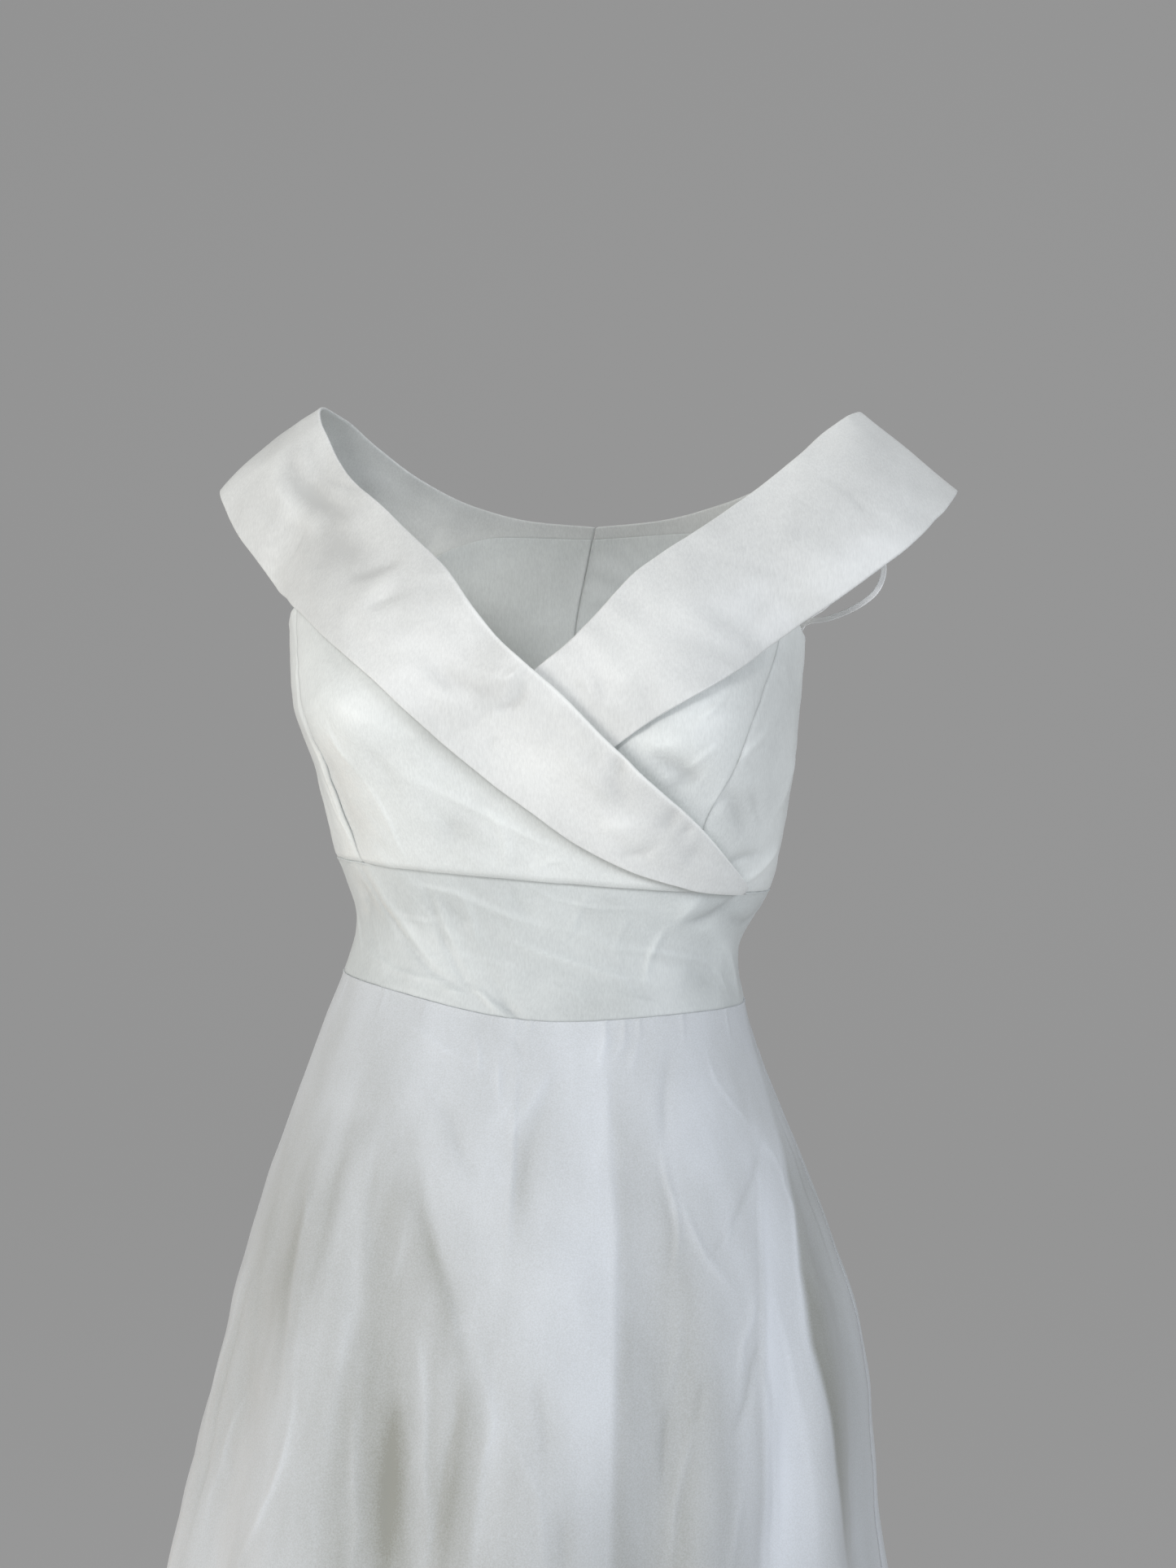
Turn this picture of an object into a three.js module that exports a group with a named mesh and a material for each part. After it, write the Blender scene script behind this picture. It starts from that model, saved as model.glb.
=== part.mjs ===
// Off-shoulder satin dress with a crossed front, a deep folded collar that passes round both
// shoulders, a fitted waistband and an A-line skirt, kept hollow and in its worn shape.
// Millimetres, +Z up. The front faces -Y and the wearer's left is +X. The origin is the middle
// of the waist. A place on the cloth is given by its turn, its height and its layer: the turn is
// in degrees round the figure from the centre front (0) by the wearer's left side (90) to the
// centre back (180), and the layer is how far the cloth's outer face lies off the figure.

import * as THREE from 'three';

// Driving sizes
const PANEL_CLOTH = 1.2;          // wall of a bodice, waistband or skirt panel
const COLLAR_CLOTH = 2;           // the collar is folded double
const SEAM_GAP = 0.3;             // between two pieces that are sewn edge to edge
const LAYER_GAP = 0.8;            // between two pieces that lie on each other
const UNDERBUST = 40;             // height of the seam between bodice and waistband
const WAIST_SEAM = -29;           // height of the seam between waistband and skirt, at the sides
const WAIST_DIP = 10;             // how far that seam dips at the front
const WAIST_DIP_TURN = 4;
const WAIST_DIP_WIDTH = 34;
const HEM = -1050;                // floor length
const SIDE_SEAM = 92;             // turn of the side seams
const CENTRE_BACK = 180;
const NECK_INSET = 0.8;           // degrees that a panel's neck edge hides behind the collar's fold

// The figure: an oval ring for each height, with its own depth to the front and to the back
const RINGS = table(
  ['height', 'halfWidth', 'front', 'back', 'square', 'shift'], [
    [-1050, 368, 330, 380, 0.00, -20],
    [-375, 214.5, 202, 225, 0.00, -15],
    [-225, 189, 166, 193, 0.01, -3],
    [-125, 158, 131, 161, 0.02, -3],
    [-60, 133, 104, 122, 0.03, -4],
    [-30, 123, 92, 98, 0.04, -2],
    [0, 117, 86, 88, 0.04, 0],
    [45, 134, 95, 90, 0.05, 4],
    [95, 144, 106, 96, 0.06, 4],
    [140, 154, 112, 100, 0.06, 0],
    [185, 158, 106, 104, 0.06, 0],
    [240, 162, 86, 104, 0.05, 9],
    [290, 163, 60, 94, 0.04, 20],
    [335, 160, 36, 80, 0.03, 26],
  ]);

// The darts' shape: one soft rise each side of the centre front
const BUST = { turn: 36, height: 122, wide: 46, tall: 50, rise: 15, mmPerDegree: 2.27 };

// The hip rests to one side, so the rings lean: rise of a ring per millimetre toward +X
const LEAN = table(
  ['height', 'slope'], [
    [-400, 0],
    [-120, -0.05],
    [-30, -0.073],
    [45, -0.075],
    [140, -0.03],
    [240, 0],
  ]);

// Seams and edges, as the turn at each height
const PRINCESS_RIGHT = table(
  ['height', 'turn'], [
    [40, 46], [78, 48], [106, 48.5], [139, 50], [174, 56], [199, 58],
  ]);
const PRINCESS_LEFT = table(
  ['height', 'turn'], [
    [40, 40], [78, 41], [106, 46], [128, 50], [150, 55], [176, 61], [199, 63],
  ]);
const NECK_OVER = table(
  ['height', 'turn'], [
    [40, 62], [61, 48], [77, 40], [98, 28], [118, 21], [141, 12], [158, 4],
    [171, -2], [191, -8], [213, -15], [233, -24],
  ]);
const NECK_UNDER = table(
  ['height', 'turn'], [
    [40, -32], [80, -22], [120, -8], [148, 1], [161, 7], [173, 12], [192, 18],
    [212, 23], [221, 26],
  ]);

// Top edge of the side fronts, by the share of the way from the princess seam to the side seam,
// and of the backs, by the turn: the armhole, then the neck
const PRINCESS_TOP = 199;
const PANEL_ROWS = 16;
const SIDE_TOP = table(
  ['share', 'height'], [
    [0, PRINCESS_TOP], [0.3, 191], [0.65, 185], [1, 182],
  ]);
const BACK_TOP = table(
  ['turn', 'height'], [
    [92, 182], [108, 187], [122, 200], [134, 222], [146, 250], [158, 259], [180, 257],
  ]);

// The collars, a row for each ruling from the free edge to the fold. foldOff and edgeOff are how
// far the inner face stands off there, flare is how far the free edge itself lifts, and crown is
// how far the middle bulges.
const COLLAR_COLUMNS = [
  'foldTurn', 'foldHeight', 'foldOff', 'edgeTurn', 'edgeHeight', 'edgeOff', 'flare', 'crown',
];
const COLLAR_OVER = table(COLLAR_COLUMNS, [
  [-180, 265, 0, -180, 184, 1, 2, 1],
  [-165, 269, 0, -156, 190, 2, 2, 1],
  [-150, 279, 0, -137, 207, 9, 2.5, 1],
  [-136, 295, 1, -123, 228, 26, 2.5, 2],
  [-122, 313, 3, -111, 250, 45, 2.5, 3],
  [-108, 327, 5, -100, 268, 58, 2.5, 5],
  [-95, 331, 7, -91, 279, 61, 2.5, 8],
  [-81, 321, 4, -83, 254, 42, 2.5, 8],
  [-68, 308, 2, -75, 230, 17, 2.5, 5],
  [-57, 290, 0, -68, 209, 4, 2.5, 2],
  [-46, 272, 0, -59, 200, 0, 2.5, 1],
  [-36, 257, 0, -49, 189, 0, 2.5, 1],
  [-24, 233, 0, -40, 174, 0, 2.5, 1],
  [-15, 213, 0, -33, 161, 0, 2.5, 1],
  [-8, 191, 0, -27, 148, 0, 2.5, 1],
  [-2, 172, 0, -20.5, 130.5, 0, 2.5, 1],
  [4, 158, 0, -13.5, 111, 0, 2.5, 1],
  [12, 141, 0, -5.5, 93, 0, 2.5, 1],
  [20.5, 119, 0, 3.5, 78, 0, 2.5, 1],
  [29, 97.5, 0, 14, 62, 0, 2, 1],
  [39, 78, 0, 28, 48.5, 0, 1, 0.5],
  [48, 61, 0, 41, 42.5, 0, 0.5, 0],
  [59, 44, 0, 58, 41.3, 0, 0, 0],
]);
const COLLAR_UNDER = table(COLLAR_COLUMNS, [
  [1, 148, 0, 17.5, 109, 0, 0, 0],
  [7, 161, 0, 23.5, 121, 0, 0.4, 0],
  [12, 173, 0, 28, 130, 0, 1, 0.5],
  [18, 192, 0, 34, 140.5, 0, 1.8, 1],
  [23, 212, 0, 42, 153.5, 0, 2.5, 1],
  [28, 225, 0, 50, 166, 0, 2.5, 1],
  [36, 243, 0, 59, 182, 8, 2.5, 0.5],
  [44, 262, 0, 65.5, 200, 26, 2.5, 0],
  [52, 281, 0, 71, 216, 39, 2.5, 0],
  [63, 300, -3, 78, 236, 53, 2.5, 0],
  [80, 313, -2, 86, 256, 61, 2.5, -1],
  [95, 317, 3, 95, 270, 65, 2.5, -1],
  [108, 314, 4, 104, 261, 60, 2.5, 1],
  [122, 304, 3, 114, 244, 46, 2.5, 2],
  [136, 290, 1, 125, 225, 26, 2.5, 2],
  [150, 277, 0, 138, 206, 9, 2.5, 1],
  [165, 268, 0, 156, 190, 2, 2, 1],
  [180, 265, 0, 180, 184, 1, 2, 1],
]);

// The skirt's folds. A ridge has a rise above 0 and a trough below 0, in millimetres at the hem.
// The turn is taken at the hip and slants by so many degrees for each 100 mm below it.
const HIP = -120;
const SLANT_REACH = 350;
const FOLD_GROWTH = 0.85;
const SKIRT_FOLDS = table(
  ['turn', 'slant', 'width', 'rise', 'start'], [
    [-66, 2, 5, 13, -120],
    [-52, 2, 6, -16, -90],
    [-37, 3, 7, 15, -70],
    [-24, 7, 8, -26, -60],
    [8, 1, 10, 20, -50],
    [29, 0, 6, -17, -60],
    [39, -2, 5, 12, -110],
    [62, -6, 5, -18, -90],
    [57, 3, 5, 24, -150],
    [78, 1, 6, -19, -70],
    [94, 1, 6, 21, -90],
    [110, 0, 7, -20, -80],
    [126, -1, 6, 22, -60],
    [141, 0, 7, -24, -70],
    [157, 1, 7, 23, -90],
    [172, 0, 6, -18, -60],
    [-171, -1, 6, 20, -80],
    [-156, 1, 7, -22, -70],
    [-139, 1, 7, 24, -60],
    [-122, 0, 7, -20, -90],
    [-106, -1, 6, 22, -70],
    [-88, 0, 6, -19, -80],
  ]);

// The ribbon loop by which the dress hangs, sewn inside the left side panel: the points it passes
const LOOP_WIDTH = 3.2;
const LOOP_THICK = 1;
const LOOP_SIDES = 8;
const LOOP_STEPS = 30;
const LOOP_POINTS = [
  [150, -14, 168],
  [152, -16, 181],
  [159, -20, 188.5],
  [173, -30, 190],
  [189, -37, 196],
  [200, -37, 205],
  [204, -31, 218],
  [200, -20, 232],
  [190, -8, 237],
  [181, -3, 226],
  [178, -4, 211],
  [170, -4, 200],
  [160, -3, 193],
  [153, -2, 182],
  [150.5, -2, 168],
];

// Materials
const satin = cloth(0xe4e5e4, 0.42);
const bandSatin = cloth(0xd9dddc, 0.46);
const chiffon = cloth(0xdcdcda, 0.62);
const ribbonSheer = cloth(0xc9cbca, 0.5);

function cloth(color, roughness) {
  return new THREE.MeshStandardMaterial({ color, roughness, metalness: 0 });
}

// Turns rows of numbers into rows with named columns
function table(columns, rows) {
  return rows.map((row) => Object.fromEntries(columns.map((name, i) => [name, row[i]])));
}

// Reads a column of a table at a place between its rows, on a smooth curve that never overshoots
function read(rows, key, column, at) {
  const last = rows.length - 1;
  const x = THREE.MathUtils.clamp(at, rows[0][key], rows[last][key]);
  let i = 0;
  while (i < last - 1 && x > rows[i + 1][key]) {
    i += 1;
  }
  const rate = (k) => (rows[k + 1][column] - rows[k][column]) / (rows[k + 1][key] - rows[k][key]);
  const slope = (k) => {
    if (k === 0) {
      return rate(0);
    }
    if (k === last) {
      return rate(last - 1);
    }
    const before = rate(k - 1);
    const after = rate(k);
    return before * after <= 0 ? 0 : (2 * before * after) / (before + after);
  };
  const span = rows[i + 1][key] - rows[i][key];
  const s = (x - rows[i][key]) / span;
  const rise = rows[i + 1][column] - rows[i][column];
  const ease = s * s * (3 - 2 * s);
  const pull = s * (1 - s) * span * (slope(i) * (1 - s) - slope(i + 1) * s);
  return rows[i][column] + rise * ease + pull;
}

// A point on the ring at this height, before the darts' shape
function ringPoint(turn, height) {
  const angle = THREE.MathUtils.degToRad(turn);
  const ring = (column) => read(RINGS, 'height', column, height);
  const square = 1 + ring('square') * Math.sin(2 * angle) ** 2;
  const depth = Math.cos(angle) > 0 ? ring('front') : ring('back');
  const x = ring('shift') + ring('halfWidth') * Math.sin(angle) * square;
  const y = -depth * Math.cos(angle) * square;
  const z = height + read(LEAN, 'height', 'slope', height) * x;
  return new THREE.Vector3(x, y, z);
}

// How far the darts push the cloth out
function bustRise(turn, height) {
  let rise = 0;
  for (const side of [-1, 1]) {
    const across = ((turn - side * BUST.turn) * BUST.mmPerDegree) / BUST.wide;
    const up = (height - BUST.height) / BUST.tall;
    rise += BUST.rise * Math.exp(-across * across - up * up);
  }
  return rise;
}

// A point of the figure, moved level outward by a stand-off
function figure(turn, height, standOff = 0) {
  const step = 0.5;
  const level = ringPoint(turn + step, height).sub(ringPoint(turn - step, height));
  const outward = new THREE.Vector3(level.y, -level.x, 0).normalize();
  return ringPoint(turn, height).addScaledVector(outward, bustRise(turn, height) + standOff);
}

// The direction straight out of the cloth
function outOfCloth(turn, height) {
  const step = 0.5;
  const round = figure(turn + step, height).sub(figure(turn - step, height));
  const up = figure(turn, height + step).sub(figure(turn, height - step));
  return round.cross(up).normalize();
}

// A point of the figure with a stand-off, then straight out by a layer
function place(turn, height, layer, standOff = 0) {
  return figure(turn, height, standOff).addScaledVector(outOfCloth(turn, height), layer);
}

// Half a seam's gap, as a turn
function halfGap(turn, height) {
  return SEAM_GAP / 2 / figure(turn + 0.5, height).distanceTo(figure(turn - 0.5, height));
}

// A closed wall of cloth over a grid. faces(u, v) gives the outer and the inner point, with u
// along the turn and v upward.
function wall(name, columns, rows, faces, material) {
  const points = [];
  const at = (i, j, inner) => 2 * (j * (columns + 1) + i) + (inner ? 1 : 0);
  for (let j = 0; j <= rows; j += 1) {
    for (let i = 0; i <= columns; i += 1) {
      const [outer, inner] = faces(i / columns, j / rows);
      points.push(...outer.toArray(), ...inner.toArray());
    }
  }
  const triangles = [];
  const quad = (a, b, c, d) => triangles.push(a, b, c, a, c, d);
  for (let j = 0; j < rows; j += 1) {
    for (let i = 0; i < columns; i += 1) {
      quad(at(i, j), at(i + 1, j), at(i + 1, j + 1), at(i, j + 1));
      quad(at(i, j + 1, true), at(i + 1, j + 1, true), at(i + 1, j, true), at(i, j, true));
    }
  }
  for (const [a, b] of borderEdges(columns, rows)) {
    quad(at(...b), at(...a), at(...a, true), at(...b, true));
  }
  return closedMesh(name, points, triangles, material);
}

// The edges round a grid, anticlockwise seen from outside
function borderEdges(columns, rows) {
  const corners = [];
  for (let i = 0; i < columns; i += 1) {
    corners.push([i, 0]);
  }
  for (let j = 0; j < rows; j += 1) {
    corners.push([columns, j]);
  }
  for (let i = columns; i > 0; i -= 1) {
    corners.push([i, rows]);
  }
  for (let j = rows; j > 0; j -= 1) {
    corners.push([0, j]);
  }
  return corners.map((corner, k) => [corner, corners[(k + 1) % corners.length]]);
}

function closedMesh(name, points, triangles, material) {
  const geometry = new THREE.BufferGeometry();
  geometry.setAttribute('position', new THREE.Float32BufferAttribute(points, 3));
  geometry.setIndex(triangles);
  geometry.computeVertexNormals();
  const mesh = new THREE.Mesh(geometry, material);
  mesh.name = name;
  return mesh;
}

// A panel between two edges. Each edge gives [turn, height] for v from its bottom to its top,
// and layer(turn, height) says how far out the panel lies.
function panel(name, columns, rows, leftEdge, rightEdge, material, layer = () => 0) {
  const faces = (u, v) => {
    const [turnA, heightA] = leftEdge(v, u);
    const [turnB, heightB] = rightEdge(v, u);
    const height = THREE.MathUtils.lerp(heightA, heightB, u);
    const start = turnA + halfGap(turnA, heightA);
    const end = turnB - halfGap(turnB, heightB);
    const turn = THREE.MathUtils.lerp(start, end, u);
    const out = layer(turn, height);
    return [place(turn, height, out), place(turn, height, out - PANEL_CLOTH)];
  };
  return wall(name, columns, rows, faces, material);
}

function waistSeam(turn) {
  const away = (turn - WAIST_DIP_TURN) / WAIST_DIP_WIDTH;
  return WAIST_SEAM - WAIST_DIP * Math.exp(-away * away);
}

// How far the upper front is lifted where it crosses the lower front and that one's collar
function crossingLift(turn, height) {
  const pastUnder = turn - read(NECK_UNDER, 'height', 'turn', height);
  const pastOver = turn - read(NECK_OVER, 'height', 'turn', height);
  const onPanel = THREE.MathUtils.smoothstep(pastUnder, -20, -4);
  const nearFold = THREE.MathUtils.smoothstep(pastOver, -24, -9);
  const aboveEnd = THREE.MathUtils.smoothstep(height, 80, 104);
  const panelLift = LAYER_GAP + PANEL_CLOTH;
  const collarLift = LAYER_GAP + COLLAR_CLOTH;
  return onPanel * (panelLift + collarLift * nearFold * aboveEnd);
}

// The front that lies on top, on the wearer's right, with its neck edge down to the left side
function makeFrontOver() {
  const bottom = UNDERBUST + SEAM_GAP / 2;
  const princess = (v) => {
    const height = THREE.MathUtils.lerp(bottom, PRINCESS_TOP, v);
    return [-read(PRINCESS_RIGHT, 'height', 'turn', height), height];
  };
  const neck = (v) => {
    const height = THREE.MathUtils.lerp(bottom, NECK_OVER.at(-1).height, v);
    return [read(NECK_OVER, 'height', 'turn', height) - NECK_INSET, height];
  };
  return panel('bodice_front_over', 27, PANEL_ROWS, princess, neck, satin, crossingLift);
}

// The front underneath, on the wearer's left. Its neck edge runs on down behind the other front.
function makeFrontUnder() {
  const bottom = UNDERBUST + SEAM_GAP / 2;
  const neck = (v) => {
    const height = THREE.MathUtils.lerp(bottom, NECK_UNDER.at(-1).height, v);
    return [read(NECK_UNDER, 'height', 'turn', height) + NECK_INSET, height];
  };
  const princess = (v) => {
    const height = THREE.MathUtils.lerp(bottom, PRINCESS_TOP, v);
    return [read(PRINCESS_LEFT, 'height', 'turn', height), height];
  };
  return panel('bodice_front_under', 20, PANEL_ROWS, neck, princess, satin);
}

// A side front, from the princess seam to the side seam. side is -1 for the right, 1 for the left.
function makeSide(side) {
  const bottom = UNDERBUST + SEAM_GAP / 2;
  const princessTable = side < 0 ? PRINCESS_RIGHT : PRINCESS_LEFT;
  const heightAt = (u, v) => {
    const share = side < 0 ? 1 - u : u;
    return THREE.MathUtils.lerp(bottom, read(SIDE_TOP, 'share', 'height', share), v);
  };
  const princess = (v, u) => {
    const height = heightAt(u, v);
    return [side * read(princessTable, 'height', 'turn', height), height];
  };
  const seam = (v, u) => [side * SIDE_SEAM, heightAt(u, v)];
  const name = side < 0 ? 'bodice_side_right' : 'bodice_side_left';
  const [left, right] = side < 0 ? [seam, princess] : [princess, seam];
  return panel(name, 8, PANEL_ROWS, left, right, satin);
}

// A back, from the side seam to the zip seam at the centre back
function makeBack(side) {
  const bottom = UNDERBUST + SEAM_GAP / 2;
  const heightAt = (u, v) => {
    const away = side < 0 ? 1 - u : u;
    const turn = THREE.MathUtils.lerp(SIDE_SEAM, CENTRE_BACK, away);
    return THREE.MathUtils.lerp(bottom, read(BACK_TOP, 'turn', 'height', turn), v);
  };
  const seam = (v, u) => [side * SIDE_SEAM, heightAt(u, v)];
  const centre = (v, u) => [side * CENTRE_BACK, heightAt(u, v)];
  const name = side < 0 ? 'bodice_back_right' : 'bodice_back_left';
  const [left, right] = side < 0 ? [centre, seam] : [seam, centre];
  return panel(name, 14, PANEL_ROWS, left, right, satin);
}

// A piece of the waistband between two turns
function makeMidriff(name, from, to, columns) {
  const top = UNDERBUST - SEAM_GAP / 2;
  const edge = (end) => (v, u) => {
    const bottom = waistSeam(THREE.MathUtils.lerp(from, to, u)) + SEAM_GAP / 2;
    return [end, THREE.MathUtils.lerp(bottom, top, v)];
  };
  return panel(name, columns, 6, edge(from), edge(to), bandSatin);
}

// How far the skirt's folds push it in or out
function foldRise(turn, height) {
  const below = THREE.MathUtils.clamp(HIP - height, -60, SLANT_REACH) / 100;
  let rise = 0;
  for (const fold of SKIRT_FOLDS) {
    const fallen = THREE.MathUtils.clamp((fold.start - height) / (fold.start - HEM), 0, 1);
    const centre = fold.turn + fold.slant * below;
    const away = THREE.MathUtils.euclideanModulo(turn - centre + 180, 360) - 180;
    const shape = Math.exp(-((away / fold.width) ** 2));
    const easeIn = THREE.MathUtils.smoothstep(fallen, 0, 0.12);
    rise += fold.rise * fallen ** FOLD_GROWTH * easeIn * shape;
  }
  return rise;
}

// A piece of the skirt between two turns, with rows closer together near the waist
function makeSkirt(name, from, to, columns) {
  const rows = 12;
  const crowding = 1.35;
  const faces = (u, v) => {
    const roughTurn = THREE.MathUtils.lerp(from, to, u);
    const top = waistSeam(roughTurn) - SEAM_GAP / 2;
    const height = THREE.MathUtils.lerp(top, HEM, (1 - v) ** crowding);
    const start = from + halfGap(from, height);
    const end = to - halfGap(to, height);
    const turn = THREE.MathUtils.lerp(start, end, u);
    const rise = foldRise(turn, height);
    return [place(turn, height, 0, rise), place(turn, height, -PANEL_CLOTH, rise)];
  };
  return wall(name, columns, rows, faces, chiffon);
}

// A collar over its rulings. ground(turn, height) is the layer of the panel under it.
function makeCollar(name, rulings, columns, ground) {
  const rows = 6;
  const stations = rulings.map((ruling, k) => ({ ...ruling, k }));
  const outer = (u, v) => {
    const at = (column) => read(stations, 'k', column, u * (stations.length - 1));
    const height = THREE.MathUtils.lerp(at('edgeHeight'), at('foldHeight'), v);
    const turn = THREE.MathUtils.lerp(at('edgeTurn'), at('foldTurn'), v);
    const half = halfGap(turn, height);
    const limit = CENTRE_BACK - half;
    const kept = THREE.MathUtils.clamp(turn, -limit, limit);
    const stand = THREE.MathUtils.lerp(at('edgeOff'), at('foldOff'), v);
    const off = stand + at('flare') * (1 - v) ** 3 + at('crown') * 4 * v * (1 - v);
    return place(kept, height, ground(kept, height) + LAYER_GAP + COLLAR_CLOTH, off);
  };
  const faces = (u, v) => {
    const step = 0.004;
    const round = outer(Math.min(u + step, 1), v).sub(outer(Math.max(u - step, 0), v));
    const up = outer(u, Math.min(v + step, 1)).sub(outer(u, Math.max(v - step, 0)));
    const point = outer(u, v);
    const inward = round.cross(up).normalize().multiplyScalar(-COLLAR_CLOTH);
    return [point, point.clone().add(inward)];
  };
  return wall(name, columns, rows, faces, satin);
}

// The hanging loop: a flat ribbon along its points, closed at both ends
function makeLoop() {
  const path = new THREE.CatmullRomCurve3(LOOP_POINTS.map((point) => new THREE.Vector3(...point)));
  const front = new THREE.Vector3(0, -1, 0);
  const points = [];
  for (let k = 0; k <= LOOP_STEPS; k += 1) {
    const centre = path.getPointAt(k / LOOP_STEPS);
    const tangent = path.getTangentAt(k / LOOP_STEPS);
    const across = new THREE.Vector3().crossVectors(front, tangent).normalize();
    const through = new THREE.Vector3().crossVectors(tangent, across);
    for (let side = 0; side < LOOP_SIDES; side += 1) {
      const angle = (2 * Math.PI * (side + 0.5)) / LOOP_SIDES;
      const point = centre.clone();
      point.addScaledVector(across, (LOOP_WIDTH / 2) * Math.cos(angle));
      point.addScaledVector(through, (LOOP_THICK / 2) * Math.sin(angle));
      points.push(...point.toArray());
    }
  }
  const triangles = [];
  const at = (k, side) => k * LOOP_SIDES + (side % LOOP_SIDES);
  for (let k = 0; k < LOOP_STEPS; k += 1) {
    for (let side = 0; side < LOOP_SIDES; side += 1) {
      triangles.push(at(k, side), at(k, side + 1), at(k + 1, side + 1));
      triangles.push(at(k, side), at(k + 1, side + 1), at(k + 1, side));
    }
  }
  for (let side = 1; side < LOOP_SIDES - 1; side += 1) {
    triangles.push(at(0, 0), at(0, side + 1), at(0, side));
    triangles.push(at(LOOP_STEPS, 0), at(LOOP_STEPS, side), at(LOOP_STEPS, side + 1));
  }
  return closedMesh('hanger_loop_left', points, triangles, ribbonSheer);
}

const dress = new THREE.Group();
dress.name = 'off_shoulder_dress';
dress.add(
  makeFrontOver(),
  makeFrontUnder(),
  makeSide(-1),
  makeSide(1),
  makeBack(-1),
  makeBack(1),
  makeCollar('collar_over', COLLAR_OVER, 44, crossingLift),
  makeCollar('collar_under', COLLAR_UNDER, 34, () => 0),
  makeMidriff('midriff_front', -SIDE_SEAM, SIDE_SEAM, 30),
  makeMidriff('midriff_back_right', -CENTRE_BACK, -SIDE_SEAM, 14),
  makeMidriff('midriff_back_left', SIDE_SEAM, CENTRE_BACK, 14),
  makeSkirt('skirt_front', -SIDE_SEAM, SIDE_SEAM, 38),
  makeSkirt('skirt_back_right', -CENTRE_BACK, -SIDE_SEAM, 20),
  makeSkirt('skirt_back_left', SIDE_SEAM, CENTRE_BACK, 20),
  makeLoop(),
);

export default dress;
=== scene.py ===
# An off-shoulder satin dress with a crossed front, a deep folded collar that passes round both
# shoulders, a fitted waistband and an A-line chiffon skirt, kept hollow and in its worn shape.
# Sizes are in millimetres and become metres where a piece is made. The front faces -Y and the
# wearer's left is +X. A place on the cloth is its turn, in degrees round the figure from the
# centre front (0) by the wearer's left side (90) to the centre back (180), and its height.

import math

import bmesh
import bpy
import numpy as np
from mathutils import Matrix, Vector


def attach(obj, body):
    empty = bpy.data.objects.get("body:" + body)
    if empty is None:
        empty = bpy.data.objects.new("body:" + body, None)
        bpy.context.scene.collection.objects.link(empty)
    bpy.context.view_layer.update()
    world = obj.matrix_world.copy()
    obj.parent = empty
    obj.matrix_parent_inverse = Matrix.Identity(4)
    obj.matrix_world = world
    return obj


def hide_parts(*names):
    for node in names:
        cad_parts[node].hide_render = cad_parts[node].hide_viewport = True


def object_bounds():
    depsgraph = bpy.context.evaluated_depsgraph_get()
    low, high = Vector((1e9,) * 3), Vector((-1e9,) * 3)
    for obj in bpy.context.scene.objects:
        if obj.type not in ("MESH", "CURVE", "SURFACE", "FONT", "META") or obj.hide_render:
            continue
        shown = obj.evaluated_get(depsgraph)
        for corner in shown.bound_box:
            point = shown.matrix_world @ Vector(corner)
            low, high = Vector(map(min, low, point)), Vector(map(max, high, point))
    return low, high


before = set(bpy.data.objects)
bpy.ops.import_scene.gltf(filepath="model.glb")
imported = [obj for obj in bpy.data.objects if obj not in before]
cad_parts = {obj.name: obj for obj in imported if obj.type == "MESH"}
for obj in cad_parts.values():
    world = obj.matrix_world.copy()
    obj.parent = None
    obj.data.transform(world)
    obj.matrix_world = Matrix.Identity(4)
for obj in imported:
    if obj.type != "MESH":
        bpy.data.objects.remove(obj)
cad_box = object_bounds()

MM = 0.001

# Camera
# It stands level, 1.1 m in front of the dress and 9 degrees toward its left side, with a lens a
# little wider than normal, so the frame cuts the skirt off below the hip.
PHOTO_HEIGHT_PIXELS = 1927
FOCAL_PIXELS = 2200
SENSOR = 36.0
CAMERA_PLACE = (0.1970, -1.0825, 0.0933)
CAMERA_AZIMUTH = 9

camera_data = bpy.data.cameras.new("camera")
camera_data.sensor_width = SENSOR
camera_data.lens = FOCAL_PIXELS * SENSOR / PHOTO_HEIGHT_PIXELS
camera = bpy.data.objects.new("camera", camera_data)
camera.location = CAMERA_PLACE
camera.rotation_euler = (math.radians(90), 0, math.radians(CAMERA_AZIMUTH))
bpy.context.scene.collection.objects.link(camera)
bpy.context.scene.camera = camera

# Hanging loop
# A narrow sheer nylon ribbon by which the dress hangs in a wardrobe. Both ends are sewn inside
# the left side front, and the loop has slipped out through the armhole below the collar.
LOOP_WIDTH = 3.2
LOOP_THICK = 0.35
LOOP_ALONG = 150
LOOP_ACROSS = 6
LOOP_POINTS = [
    (150, -14, 168), (152, -16, 181), (159, -20, 188.5), (173, -30, 190), (189, -37, 196),
    (200, -37, 205), (204, -31, 218), (200, -20, 232), (190, -8, 237), (181, -3, 226),
    (178, -4, 211), (170, -4, 200), (160, -3, 193), (153, -2, 182), (150.5, -2, 168),
]


def through_points(points, share):
    """Points along a smooth curve through the given ones, at shares from 0 to 1 of its length."""
    p = np.array(points, float)
    ends = np.vstack([2 * p[0] - p[1], p, 2 * p[-1] - p[-2]])
    steps = 40
    t = np.linspace(0, 1, steps, endpoint=False)[:, None]
    runs = []
    for a, b, c, d in zip(ends, ends[1:], ends[2:], ends[3:]):
        bend = (2 * a - 5 * b + 4 * c - d) * t**2 + (3 * b - a - 3 * c + d) * t**3
        runs.append(b + ((c - a) * t + bend) / 2)
    line = np.vstack([*runs, p[-1:]])
    reach = np.concatenate([[0], np.cumsum(np.linalg.norm(np.diff(line, axis=0), axis=1))])
    at = share * reach[-1]
    return np.stack([np.interp(at, reach, line[:, i]) for i in range(3)], axis=-1)


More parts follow.
